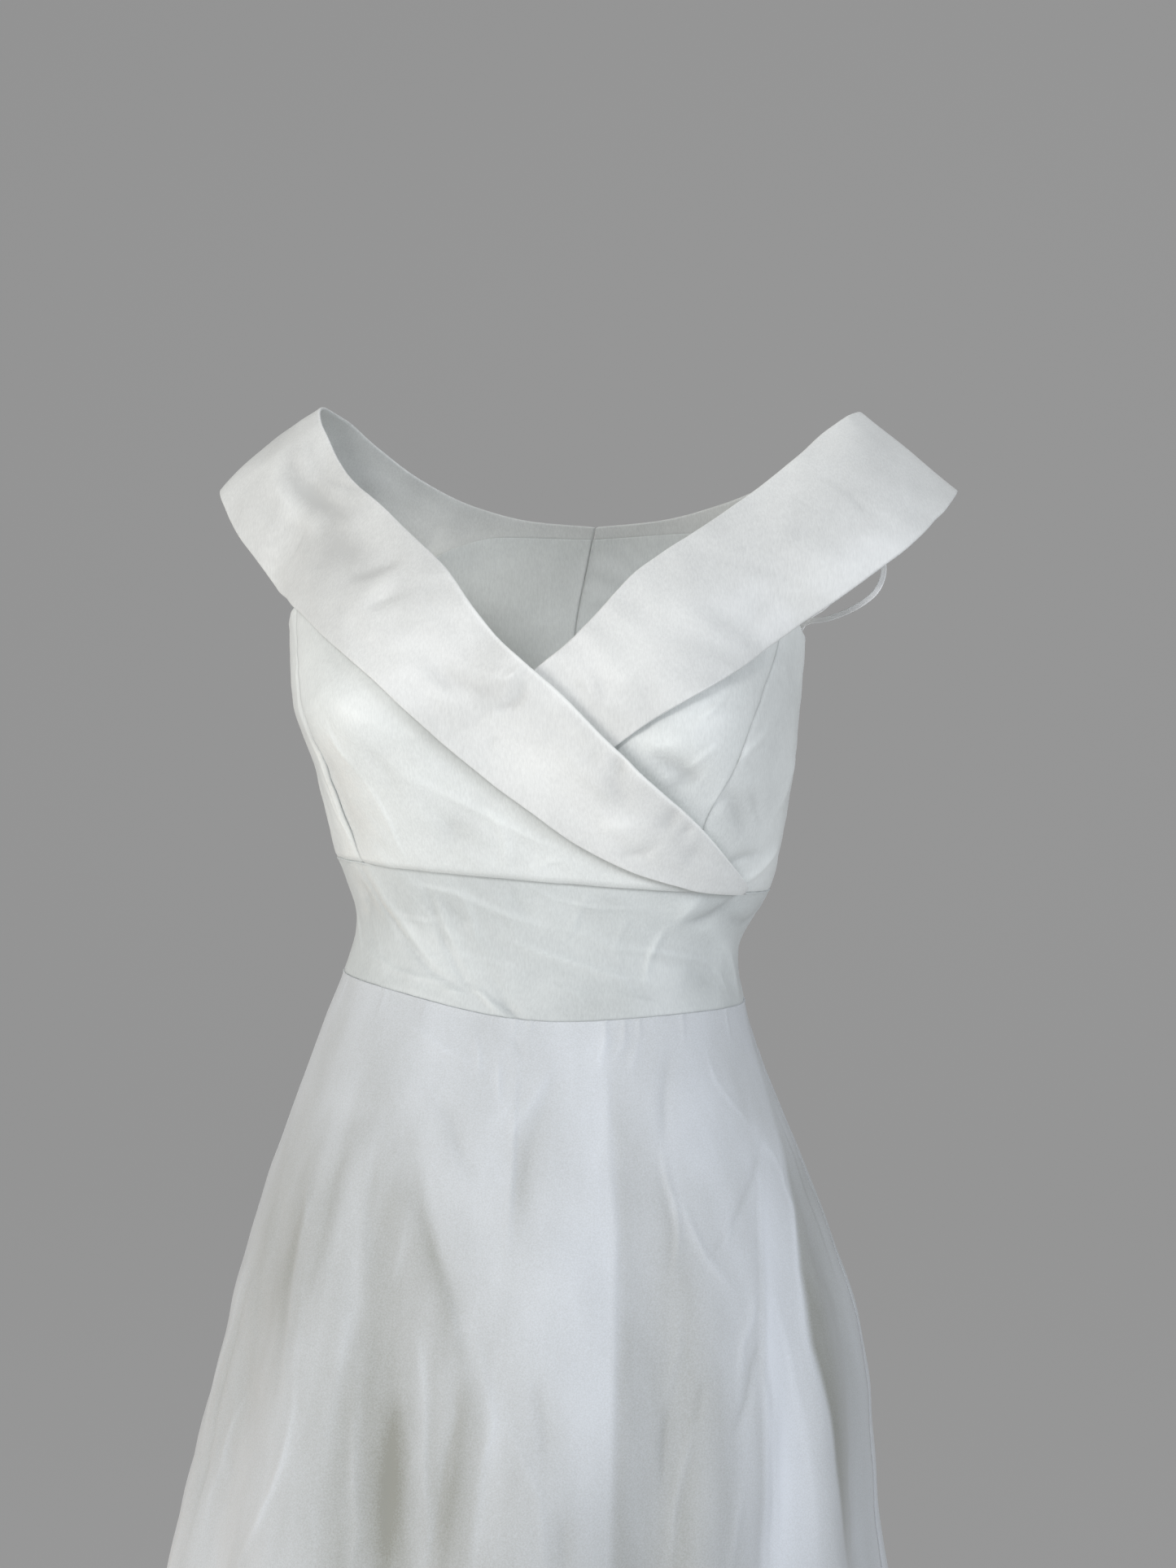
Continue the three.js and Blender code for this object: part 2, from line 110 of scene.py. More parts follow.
def unit(vectors):
    """The same directions, one long."""
    return vectors / np.linalg.norm(vectors, axis=-1, keepdims=True)


def loop_surface(across, along):
    """The ribbon's outer face: its flat side looks to the front and twists a little."""
    step = 0.002
    centre = through_points(LOOP_POINTS, along)
    tangent = through_points(LOOP_POINTS, np.minimum(along + step, 1))
    tangent = unit(tangent - through_points(LOOP_POINTS, np.maximum(along - step, 0)))
    twist = 0.35 * np.sin(2 * math.pi * along)
    front = np.stack([twist, -np.ones_like(twist), 0.2 * twist], axis=-1)
    side = unit(np.cross(front, tangent))
    return centre - side * LOOP_WIDTH * (across - 0.5)[:, None]


def linear(hex_colour):
    """An sRGB hex colour as linear red, green, blue and alpha."""
    channels = [int(hex_colour[i:i + 2], 16) / 255 for i in (1, 3, 5)]
    return [c / 12.92 if c <= 0.04045 else ((c + 0.055) / 1.055) ** 2.4 for c in channels] + [1]


def add_node(material, kind, inputs=None, **settings):
    """Adds a node with its settings. An input is set to a value, or linked to a socket."""
    tree = material.node_tree
    node = tree.nodes.new(kind)
    for name, value in settings.items():
        setattr(node, name, value)
    for socket, value in (inputs or {}).items():
        if isinstance(value, bpy.types.NodeSocket):
            tree.links.new(value, node.inputs[socket])
        else:
            node.inputs[socket].default_value = value
    return node


def new_material(name):
    """An empty node material."""
    material = bpy.data.materials.new(name)
    material.use_nodes = True
    material.node_tree.nodes.clear()
    return material


def cloth_piece(name, columns, rows, surface, thickness, material, levels=0):
    """A closed shell of cloth over a grid. surface(along, up) gives its outer points from the
    shares along and up, and the thickness goes inward. The UV map holds the two shares, and the
    attribute "tone" how light the cloth is painted there, mostly painted light and shade, 0.5
    unless the surface says otherwise."""
    grid = bmesh.new()
    bmesh.ops.create_grid(grid, x_segments=columns, y_segments=rows, size=0.5)
    shares = np.array([vert.co[:2] for vert in grid.verts]) + 0.5
    uv_map = grid.loops.layers.uv.new("cloth")
    for face in grid.faces:
        for corner in face.loops:
            corner[uv_map].uv = shares[corner.vert.index]
    made = surface(shares[:, 0], shares[:, 1])
    points, tone = made if isinstance(made, tuple) else (made, np.full(len(made), 0.5))
    for vert, point in zip(grid.verts, points * MM):
        vert.co = point
    mesh = bpy.data.meshes.new(name)
    grid.to_mesh(mesh)
    grid.free()
    mesh.shade_smooth()
    mesh.attributes.new("tone", "FLOAT", "POINT").data.foreach_set("value", tone)
    mesh.materials.append(material)
    piece = bpy.data.objects.new(name, mesh)
    bpy.context.scene.collection.objects.link(piece)
    shell = piece.modifiers.new("thickness", "SOLIDIFY")
    shell.thickness = thickness * MM
    shell.offset = -1
    if levels:
        fine = piece.modifiers.new("rounding", "SUBSURF")
        fine.levels = levels
        fine.render_levels = levels
    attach(piece, "root")
    return piece


def sheer_ribbon():
    """Woven nylon ribbon: see-through in the middle, with two firm shiny edges."""
    material = new_material("sheer nylon ribbon")
    width = add_node(material, "ShaderNodeUVMap", uv_map="cloth")
    split = add_node(material, "ShaderNodeSeparateXYZ", {0: width.outputs[0]})
    off = add_node(material, "ShaderNodeMath", {0: split.outputs[0], 1: 0.5}, operation="SUBTRACT")
    away = add_node(material, "ShaderNodeMath", {0: off.outputs[0]}, operation="ABSOLUTE")
    cover = add_node(material, "ShaderNodeMapRange", {
        "Value": away.outputs[0], "From Min": 0.28, "From Max": 0.4, "To Min": 0.6,
        "To Max": 0.97})
    shader = add_node(material, "ShaderNodeBsdfPrincipled", {
        "Base Color": linear("#f4f5f4"), "Roughness": 0.32, "Specular IOR Level": 0.6,
        "Alpha": cover.outputs[0]})
    add_node(material, "ShaderNodeOutputMaterial", {"Surface": shader.outputs[0]})
    return material


loop = cloth_piece("hanging_loop", LOOP_ACROSS, LOOP_ALONG, loop_surface, LOOP_THICK,
                   sheer_ribbon())
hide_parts("hanger_loop_left")

# Bodice panels
# Ivory satin, cut in two crossed fronts, two side fronts and two backs, and sewn edge to edge on
# a lining. Pressed seams dip a little, and the bottom edge rolls over the waistband.
PANEL_CLOTH = 1.2
COLLAR_CLOTH = 2
SEAM_GAP = 0.06
SEAM_LINE = 0.8         # half the width of the painted shade line in a sewn seam
SEAM_SHADE = 0.5        # how much darker that painted shade makes the tone
PALER_PER_MM = 0.22     # painted highlight per mm of a crease's ridge, and painted shade per mm of its trough
SATIN_DEEP = 0.66       # how light satin of tone 0, in full painted shade, is beside satin of tone 1
LAYER_GAP = 0.8
UNDERBUST = 40
SIDE_SEAM = 92
CENTRE_BACK = 180
NECK_INSET = 0.8
PRINCESS_TOP = 199


def table(columns, rows):
    """Rows of numbers as named columns."""
    return dict(zip(columns, np.array(rows, float).T))


def smooth_curve(places, values):
    """A smooth curve through the values that never overshoots, level past both ends."""
    x, y = np.array(places, float), np.array(values, float)
    rate = np.diff(y) / np.diff(x)
    same_way = rate[:-1] * rate[1:] > 0
    total = np.where(same_way, rate[:-1] + rate[1:], 1)
    inner = np.where(same_way, 2 * rate[:-1] * rate[1:] / total, 0)
    slope = np.concatenate([rate[:1], inner, rate[-1:]])

    def at(place):
        place = np.clip(place, x[0], x[-1])
        i = np.clip(np.searchsorted(x, place) - 1, 0, len(x) - 2)
        span = x[i + 1] - x[i]
        s = (place - x[i]) / span
        pull = s * (1 - s) * span * (slope[i] * (1 - s) - slope[i + 1] * s)
        return y[i] + (y[i + 1] - y[i]) * s * s * (3 - 2 * s) + pull

    return at


def curves(key, columns):
    """A smooth curve for each column of a table, read by its key column."""
    return {name: smooth_curve(columns[key], values) for name, values in columns.items()}


RING = curves("height", table(
    ["height", "halfWidth", "front", "back", "square", "shift"], [
        [-1050, 368, 330, 380, 0.00, -20],
        [-375, 214.5, 202, 225, 0.00, -15],
        [-225, 189, 166, 193, 0.01, -3],
        [-125, 158, 131, 161, 0.02, -3],
        [-60, 133, 104, 122, 0.03, -4],
        [-30, 123, 92, 98, 0.04, -2],
        [0, 117, 86, 88, 0.04, 0],
        [45, 134, 95, 90, 0.05, 4],
        [95, 144, 106, 96, 0.06, 4],
        [140, 154, 112, 100, 0.06, 0],
        [185, 158, 106, 104, 0.06, 0],
        [240, 162, 86, 104, 0.05, 9],
        [290, 163, 60, 94, 0.04, 20],
        [335, 160, 36, 80, 0.03, 26],
    ]))
LEAN = smooth_curve([-400, -120, -30, 45, 140, 240], [0, -0.05, -0.073, -0.075, -0.03, 0])
BUST = {"turn": 36, "height": 122, "wide": 46, "tall": 50, "rise": 15, "mm_per_degree": 2.27}
OVERHANG = 1.5
PRINCESS_RIGHT = smooth_curve([40, 78, 106, 139, 174, 199], [46, 48, 48.5, 50, 56, 58])
PRINCESS_LEFT = smooth_curve([40, 78, 106, 128, 150, 176, 199], [40, 41, 46, 50, 55, 61, 63])
NECK_OVER_TOP = 233
NECK_OVER = smooth_curve(
    [40, 61, 77, 98, 118, 141, 158, 171, 191, 213, NECK_OVER_TOP],
    [62, 48, 40, 28, 21, 12, 4, -2, -8, -15, -24])
NECK_UNDER_TOP = 221
NECK_UNDER = smooth_curve(
    [40, 80, 120, 148, 161, 173, 192, 212, NECK_UNDER_TOP],
    [-32, -22, -8, 1, 7, 12, 18, 23, 26])
SIDE_TOP = smooth_curve([0, 0.3, 0.65, 1], [PRINCESS_TOP, 191, 185, 182])
BACK_TOP = smooth_curve([92, 108, 122, 134, 146, 158, 180], [182, 187, 200, 222, 250, 259, 257])


def mix(a, b, share):
    """The value at a share of the way from a to b."""
    return a + (b - a) * share


def ease(value, low, high):
    """0 below low, 1 above high, and smooth between them."""
    s = np.clip((value - low) / (high - low), 0, 1)
    return s * s * (3 - 2 * s)


def ring_point(turn, height):
    """A point of the oval ring at this height, before the darts' shape."""
    angle = np.radians(turn)
    square = 1 + RING["square"](height) * np.sin(2 * angle) ** 2
    depth = np.where(np.cos(angle) > 0, RING["front"](height), RING["back"](height))
    x = RING["shift"](height) + RING["halfWidth"](height) * np.sin(angle) * square
    y = -depth * np.cos(angle) * square
    return np.stack([x, y, height + LEAN(height) * x], axis=-1)


def bust_rise(turn, height):
    """How far the darts push the cloth out, on both sides of the centre front, and how far it
    hangs over the waistband below them."""
    overhang = ease(height, UNDERBUST, UNDERBUST + 3) * (1 - ease(height, 60, 112))
    rise = OVERHANG * overhang * np.exp(-((turn / 62) ** 4))
    for side in (-1, 1):
        across = (turn - side * BUST["turn"]) * BUST["mm_per_degree"] / BUST["wide"]
        up = (height - BUST["height"]) / BUST["tall"]
        rise = rise + BUST["rise"] * np.exp(-across**2 - up**2)
    return rise


def figure(turn, height, stand_off=0):
    """A point of the worn form, moved level outward by a stand-off."""
    step = 0.5
    level = ring_point(turn + step, height) - ring_point(turn - step, height)
    outward = unit(np.stack([level[..., 1], -level[..., 0], 0 * level[..., 0]], axis=-1))
    return ring_point(turn, height) + outward * (bust_rise(turn, height) + stand_off)[..., None]


def out_of_cloth(turn, height):
    """The direction straight out of the cloth."""
    step = 0.5
    level = figure(turn + step, height) - figure(turn - step, height)
    up = figure(turn, height + step) - figure(turn, height - step)
    return unit(np.cross(level, up))


def place(turn, height, layer, stand_off=0):
    """A point of the worn form with a stand-off, then straight out by a layer."""
    turn, height = np.broadcast_arrays(np.asarray(turn, float), np.asarray(height, float))
    layer = np.broadcast_to(np.asarray(layer, float), turn.shape)
    return figure(turn, height, stand_off) + out_of_cloth(turn, height) * layer[..., None]


def half_gap(turn, height):
    """Half a seam's gap, as a turn."""
    across = figure(turn + 0.5, height) - figure(turn - 0.5, height)
    return SEAM_GAP / 2 / np.linalg.norm(across, axis=-1)


def crowd(share, amount):
    """Moves shares toward both ends, so that a grid is finer along its edges."""
    return share - amount * np.sin(2 * math.pi * share) / (2 * math.pi)


def along_routes(points, routes):
    """For each route, how near the points are to it, from 1 on its line to 0 well off it, and how
    far they are to its left, in widths. A route is its width and the points that it passes."""
    for width, route in routes:
        lengths = np.linalg.norm(np.diff(route, axis=0), axis=1)
        done = 0
        nearest = np.full(len(points), np.inf)
        along = np.zeros(len(points))
        left = np.zeros(len(points))
        for start, end, length in zip(route, route[1:], lengths):
            way = (end - start) / length
            reach = np.clip((points - start) @ way, 0, length)
            off = points - start - reach[:, None] * way
            outward = (start + end) * [1, 1, 0]
            distance = np.linalg.norm(off, axis=1)
            closer = distance < nearest
            nearest = np.where(closer, distance, nearest)
            aside = off @ np.cross(way, outward / np.linalg.norm(outward))
            left = np.where(closer, aside, left)
            along = np.where(closer, done + reach, along)
            done += length
        taper = np.sin(math.pi * np.clip(along / done, 0.04, 0.96)) ** 0.6
        yield np.exp(-((nearest / width) ** 1.35)) * taper, left / width


def crease_relief(points, creases):
    """How far soft creases push the points out, and their painted tone: a painted highlight along a
    ridge and painted shade in a trough. A crease has a width, a ridge (or a trough, below 0), a
    roll, which lifts its left side and sinks the other, and a route."""
    relief, pale = np.zeros(len(points)), np.zeros(len(points))
    routes = [(width, route) for width, _, _, route in creases]
    for (_, ridge, roll, _), (near, left) in zip(creases, along_routes(points, routes)):
        relief += near * (ridge + roll * left)
        pale += near * ridge * PALER_PER_MM
    return relief, pale


def cloth_creases(rows):
    """Creases from a table whose routes are given as turns and heights."""
    return [
        (width, ridge, roll, place(*np.array(route, float).T, 0))
        for width, ridge, roll, route in rows
    ]


def slack(points, size, wavelength):
    """The small unevenness of cloth that is worn and not pressed."""
    x, y, z = (points / wavelength).T
    wave = np.sin(2.1 * x + 1.3 * np.sin(1.7 * z + y)) * np.sin(1.9 * z - 1.1 * y + 0.6 * x)
    return size * (wave + 0.5 * np.sin(4.3 * z + 2.2 * x + 2 * np.sin(1.3 * x - 2.1 * y)))


def seam_relief(distance, along, depth, reach):
    """A pressed seam: the cloth dips toward it, or rises below 0, with its stitches' pucker."""
    pucker = 1 + 0.35 * np.sin(along / 2.6 + 1.7 * np.sin(along / 9.1))
    return -depth * pucker * np.exp(-((distance / reach) ** 2))


def on_figure(turn, height):
    """The layer of cloth that lies straight on the figure."""
    return 0 * turn


def panel_surface(left_edge, right_edge, creases, layer=on_figure, seams=(0.35, 0.35, 0.2, 0)):
    """The outer points of a panel between two edges, each given as turn and height. seams are
    how deep the cloth dips at its left, right, bottom and top seam. It rises below 0, and only a
    seam where it dips gets a line of painted shade. The tone holds the creases' painted highlights
    and shade."""

    def surface(along, up):
        along, up = crowd(along, 0.55), crowd(up, 0.55)
        turn_a, height_a = left_edge(up, along)
        turn_b, height_b = right_edge(up, along)
        height = mix(height_a, height_b, along)
        start = turn_a + half_gap(turn_a, height_a)
        end = turn_b - half_gap(turn_b, height_b)
        turn = mix(start, end, along)
        out = layer(turn, height)
        width = np.linalg.norm(place(end, height, 0) - place(start, height, 0), axis=-1)
        tall = np.linalg.norm(
            place(turn, left_edge(1 + 0 * up, along)[1], 0)
            - place(turn, left_edge(0 * up, along)[1], 0), axis=-1)
        points = place(turn, height, 0)
        relief, pale = crease_relief(points, cloth_creases(creases))
        relief += slack(points, 0.22, 13)
        for depth, off, run in zip(
            seams, (width * along, width * (1 - along), tall * up, tall * (1 - up)),
            (tall * up, tall * up, width * along, width * along),
        ):
            relief += seam_relief(off, run, depth, 2 if depth > 0 else 1.2)
            # A line of painted shade in each seam that dips
            pale -= SEAM_SHADE * (depth > 0) * np.exp(-((off / SEAM_LINE) ** 2))
        return place(turn, height, out + relief), 0.5 + pale

    return surface


def crossing_lift(turn, height):
    """How far the upper front is lifted where it crosses the lower front and its collar."""
    past_under = turn - NECK_UNDER(height)
    past_over = turn - NECK_OVER(height)
    panel_lift = LAYER_GAP + PANEL_CLOTH
    collar_lift = (LAYER_GAP + COLLAR_CLOTH) * ease(past_over, -24, -9) * ease(height, 80, 104)
    return ease(past_under, -20, -4) * (panel_lift + collar_lift)


BODICE_BOTTOM = UNDERBUST + SEAM_GAP / 2
FRONT_OVER_CREASES = [
    (14, -1.5, 0.0, [(-46, 112), (-45, 90), (-44, 66), (-42, 41)]),
    (1.7, 0.6, 0.6, [(-36, 95), (-33, 81), (-31, 67), (-30, 53), (-29, 46)]),
    (2.2, 0.8, 0.6, [(-24, 96), (-18, 88), (-11, 80), (-4, 72), (4, 64), (11, 60)]),
    (2.2, 0.6, -0.6, [(-7, 80), (-4, 63), (-4, 49), (-4, 41)]),
    (1.9, 0.6, -0.5, [(2, 43), (6, 51), (11, 53)]),
    (9, -1.2, 0.0, [(-17, 72), (-16, 62), (-17, 54)]),
    (9, -1.1, 0.0, [(-32, 110), (-29, 96), (-27, 84)]),
    (2.2, 0.6, 0.5, [(-40, 123), (-39, 107), (-36, 95)]),
    (6, 0.7, 0.4, [(-42, 152), (-36, 136), (-26, 122)]),
]
FRONT_UNDER_CREASES = [
    (5, -2.7, 1.1, [(27, 114), (30, 110), (34, 105), (39, 99)]),
    (5, -2.0, 0.8, [(31, 94), (34, 98), (38, 103)]),
    (2.2, 1.0, 0.5, [(28, 107), (31, 101), (35, 95)]),
    (1.8, 0.6, 0.6, [(35, 106), (38, 113), (41, 119)]),
    (1.8, 0.6, 0.5, [(36, 129), (40, 138), (43, 145)]),
    (2.2, 0.8, 0.6, [(44, 100), (43, 84), (42, 68)]),
    (6, 1.6, 0.5, [(26, 122), (30, 118), (35, 119)]),
]
SIDE_LEFT_CREASES = [
    (28, 1.4, 0.0, [(74, 40), (76, 90), (78, 150)]),
    (2.6, -2.0, 0.9, [(50, 55), (55, 60), (64, 63)]),
    (4, 2.1, -1.3, [(56, 44), (63, 50), (70, 58), (79, 66)]),
    (6, -1.9, 0.8, [(42, 88), (46, 92), (50, 84), (55, 71)]),
    (2.2, 0.9, 0.6, [(46, 110), (51, 120), (58, 130)]),
    (2.2, -0.9, 0.6, [(53, 98), (58, 84), (62, 76)]),
    (5, 1.0, 0.5, [(88, 120), (76, 98), (68, 82)]),
]
SIDE_RIGHT_CREASES = [
    (2.2, 0.7, 0.5, [(-53, 88), (-51, 69), (-48, 54)]),
    (5, -0.6, 0.3, [(-64, 110), (-60, 84), (-58, 58)]),
    (5, 0.6, 0.3, [(-86, 150), (-76, 132), (-68, 118)]),
    (1.8, 0.9, 0.0, [(-56, 168), (-52, 139), (-50.5, 106), (-50, 78), (-48.5, 44)]),
]
BACK_RIGHT_CREASES = [
    (7, 0.9, 0.5, [(-100, 84), (-116, 70), (-134, 60)]),
    (6, -0.8, 0.4, [(-96, 110), (-108, 98), (-122, 92)]),
    (5, 0.7, -0.5, [(-174, 90), (-160, 72), (-150, 52)]),
    (6, 0.7, 0.4, [(-120, 150), (-136, 132), (-156, 122)]),
]
BACK_LEFT_CREASES = [
    (7, 0.8, -0.5, [(98, 94), (112, 76), (128, 66)]),
    (6, 0.7, 0.5, [(176, 110), (164, 86), (156, 60)]),
    (5, -0.7, 0.4, [(102, 130), (118, 112), (138, 104)]),
    (4, 0.6, 0.4, [(136, 62), (146, 52), (152, 44)]),
]


def mottle_and_painted_shade(material, clouds, weave, cloud_reach):
    """Painted light and shade from the tone attribute, made uneven by clouds and weave, 0 dark, 1
    pale.
    """
    uneven = [
        add_node(material, "ShaderNodeMapRange", {
            "Value": noise.outputs[0], "From Min": 0.3, "From Max": 0.7,
            "To Min": -reach, "To Max": reach}).outputs[0]
        for noise, reach in ((clouds, cloud_reach), (weave, 0.14))
    ]
    mottle = add_node(material, "ShaderNodeMath", dict(enumerate(uneven)), operation="ADD")
    tone = add_node(material, "ShaderNodeAttribute", attribute_name="tone")
    return add_node(material, "ShaderNodeMath", {
        0: mottle.outputs[0], 1: tone.outputs["Fac"]}, operation="ADD").outputs[0]


def satin(name, colour, roughness):
    """Satin weave, calendered: long warp floats give a soft sheen. The weave, about 0.1 mm, is
    drawn at 0.9 mm so that it shows at all, and faint slubs and milky clouds break it up."""
    material = new_material(name)
    place_on = add_node(material, "ShaderNodeTexCoord")
    stretch = add_node(material, "ShaderNodeMapping", {
        "Vector": place_on.outputs["Object"], "Scale": (1100, 1100, 260)})
    floats = add_node(material, "ShaderNodeTexNoise", {
        "Vector": stretch.outputs[0], "Scale": 1.0, "Detail": 2.0, "Roughness": 0.6})
    clouds = add_node(material, "ShaderNodeTexNoise", {
        "Vector": place_on.outputs["Object"], "Scale": 16.0, "Detail": 5.0, "Roughness": 0.62})
    deep = [SATIN_DEEP * c for c in linear(colour)[:3]] + [1]
    blend = add_node(material, "ShaderNodeMix", {
        0: mottle_and_painted_shade(material, clouds, floats, 0.2), 6: deep,
        7: linear(colour)}, data_type="RGBA")
    gloss = add_node(material, "ShaderNodeMapRange", {
        "Value": clouds.outputs[0], "From Min": 0.3, "From Max": 0.7,
        "To Min": roughness - 0.04, "To Max": roughness + 0.05})
    bump = add_node(material, "ShaderNodeBump", {
        "Strength": 0.24, "Distance": 0.0002, "Height": floats.outputs[0]})
    shader = add_node(material, "ShaderNodeBsdfPrincipled", {
        "Base Color": blend.outputs[2], "Roughness": gloss.outputs[0],
        "Specular IOR Level": 0.42, "Sheen Weight": 0.12, "Sheen Roughness": 0.4,
        "Normal": bump.outputs[0]})
    add_node(material, "ShaderNodeOutputMaterial", {"Surface": shader.outputs[0]})
    return material


bodice_satin = satin("ivory satin", "#f5f9f6", 0.42)


def edge(line, top, bottom=lambda along: BODICE_BOTTOM):
    """An edge of a panel: line gives its turn at a height, between its bottom and its top."""

    def at(up, along):
        height = mix(bottom(along), top(along), up)
        return line(height), height

    return at


def straight(turn):
    return lambda height: turn + 0 * height


def princess(side):
    return lambda height: side * (PRINCESS_RIGHT if side < 0 else PRINCESS_LEFT)(height)


def level(height):
    return lambda along: height + 0 * along


def side_top(side):
    return lambda along: SIDE_TOP(1 - along if side < 0 else along)


def back_top(side):
    return lambda along: BACK_TOP(mix(SIDE_SEAM, CENTRE_BACK, 1 - along if side < 0 else along))


def declare(node):
    """Hides the CAD part that a cloth piece stands for."""
    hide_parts(node)


front_over = cloth_piece(
    "front_over", 156, 108,
    panel_surface(
        edge(princess(-1), level(PRINCESS_TOP)),
        edge(lambda height: NECK_OVER(height) - NECK_INSET, level(NECK_OVER_TOP)),
        FRONT_OVER_CREASES, crossing_lift, seams=(0.35, 0, 0.2, 0)),
    PANEL_CLOTH, bodice_satin)
declare("bodice_front_over")

front_under = cloth_piece(
    "front_under", 128, 108,
    panel_surface(
        edge(lambda height: NECK_UNDER(height) + NECK_INSET, level(NECK_UNDER_TOP)),
        edge(princess(1), level(PRINCESS_TOP)),
        FRONT_UNDER_CREASES, seams=(0, 0.35, 0.2, 0)),
    PANEL_CLOTH, bodice_satin)
declare("bodice_front_under")

for side, name, side_creases, back_creases in (
    (-1, "right", SIDE_RIGHT_CREASES, BACK_RIGHT_CREASES),
    (1, "left", SIDE_LEFT_CREASES, BACK_LEFT_CREASES),
):
    lines = [princess(side), straight(side * SIDE_SEAM)][::side]
    edges = [edge(line, side_top(side)) for line in lines]
    piece = cloth_piece("side_" + name, 56, 96, panel_surface(*edges, side_creases),
                        PANEL_CLOTH, bodice_satin)
    declare("bodice_side_" + name)

    turns = [side * SIDE_SEAM, side * CENTRE_BACK][::side]
    edges = [edge(straight(turn), back_top(side)) for turn in turns]
    piece = cloth_piece("back_" + name, 88, 96, panel_surface(*edges, back_creases),
                        PANEL_CLOTH, bodice_satin)
    declare("bodice_back_" + name)

# Collars
# Each is one bias strip of the same satin, folded double over a soft interlining and sewn into
# the neck edge, so it rolls over and hangs free past the shoulders down to its folded edge.
COLLAR_COLUMNS = [
    "foldTurn", "foldHeight", "foldOff", "edgeTurn", "edgeHeight", "edgeOff", "flare", "crown"]
COLLAR_OVER = table(COLLAR_COLUMNS, [
    [-180, 265, 0, -180, 184, 1, 2, 1],
    [-165, 269, 0, -156, 190, 2, 2, 1],
    [-150, 279, 0, -137, 207, 9, 2.5, 1],
    [-136, 295, 1, -123, 228, 26, 2.5, 2],
    [-122, 313, 3, -111, 250, 45, 2.5, 3],
    [-108, 327, 5, -100, 268, 58, 2.5, 5],
    [-95, 331, 7, -91, 279, 61, 2.5, 8],
    [-81, 321, 4, -83, 254, 42, 2.5, 8],
    [-68, 308, 2, -75, 230, 21, 2.5, 5],
    [-57, 290, 0, -68, 209, 4, 2.5, 2],
    [-46, 272, 0, -59, 200, 0, 2.5, 1],
    [-36, 257, 0, -49, 189, 0, 2.5, 1],
    [-24, 233, 0, -40, 174, 0, 2.5, 1],
    [-15, 213, 0, -33, 161, 0, 2.5, 1],
    [-8, 191, 0, -27, 148, 0, 2.5, 1],
    [-2, 172, 0, -20.5, 130.5, 0, 2.5, 1],
    [4, 158, 0, -13.5, 111, 0, 2.5, 1],
    [12, 141, 0, -5.5, 93, 0, 2.5, 1],
    [20.5, 119, 0, 3.5, 78, 0, 2.5, 1],
    [29, 97.5, 0, 14, 62, 0, 2, 1],
    [39, 78, 0, 28, 48.5, 0, 1, 0.5],
    [48, 61, 0, 41, 42.5, 0, 0.5, 0],
    [59, 44, 0, 58, 41.3, 0, 0, 0],
])
COLLAR_UNDER = table(COLLAR_COLUMNS, [
    [1, 148, 0, 17.5, 109, 0, 0, 0],
    [7, 161, 0, 23.5, 121, 0, 0.4, 0],
    [12, 173, 0, 28, 130, 0, 1, 0.5],
    [18, 192, 0, 34, 140.5, 0, 1.8, 1],
    [23, 212, 0, 42, 153.5, 0, 2.5, 1],
    [28, 225, 0, 50, 166, 0, 2.5, 1],
    [36, 243, 0, 59, 182, 8, 2.5, 0.5],
    [44, 262, 0, 65.5, 200, 26, 2.5, 0],
    [52, 281, 0, 71, 216, 39, 2.5, 0],
    [63, 300, -3, 78, 236, 53, 2.5, 0],
    [80, 313, -2, 86, 256, 61, 2.5, -1],
    [95, 317, 3, 95, 270, 65, 2.5, -1],
    [108, 314, 4, 104, 261, 60, 2.5, 1],
    [122, 304, 3, 114, 244, 46, 2.5, 2],
    [136, 290, 1, 125, 225, 26, 2.5, 2],
    [150, 277, 0, 138, 206, 9, 2.5, 1],
    [165, 268, 0, 156, 190, 2, 2, 1],
    [180, 265, 0, 180, 184, 1, 2, 1],
])


def collar_surface(rulings, ground, creases, fold_highlight=0):
    """The outer points of a collar over its rulings, from the free edge up to the fold. Its
    creases are given by ruling number and share up. The last argument is how much a painted
    highlight brightens the fold past the shoulder, where light comes through its single turn."""
    stations = np.arange(len(rulings["foldTurn"]))
    ruling = {name: smooth_curve(stations, values) for name, values in rulings.items()}

    def lay(along, up, relief=0):
        number = along * stations[-1]
        height = mix(ruling["edgeHeight"](number), ruling["foldHeight"](number), up)
        turn = mix(ruling["edgeTurn"](number), ruling["foldTurn"](number), up)
        limit = CENTRE_BACK - half_gap(turn, height)
        kept = np.clip(turn, -limit, limit)
        stand = mix(ruling["edgeOff"](number), ruling["foldOff"](number), up)
        lift = ruling["flare"](number) * (1 - up) ** 3 + ruling["crown"](number) * 4 * up * (1 - up)
        layer = ground(kept, height) + LAYER_GAP + COLLAR_CLOTH
        return place(kept, height, layer + relief, stand + lift)

    def surface(along, up):
        up = crowd(up, 0.5)
        points = lay(along, up)
        routes = [
            (width, ridge, roll, lay(*(np.array(route, float) / [stations[-1], 1]).T))
            for width, ridge, roll, route in creases
        ]
        relief, pale = crease_relief(points, routes)
        # A painted highlight along the fold past the shoulder
        pale += fold_highlight * np.exp(-(((1 - up) / 0.03) ** 2)) * ease(along * stations[-1], 12, 15)
        return lay(along, up, relief + slack(points, 0.3, 16)), 0.5 + pale

    return surface


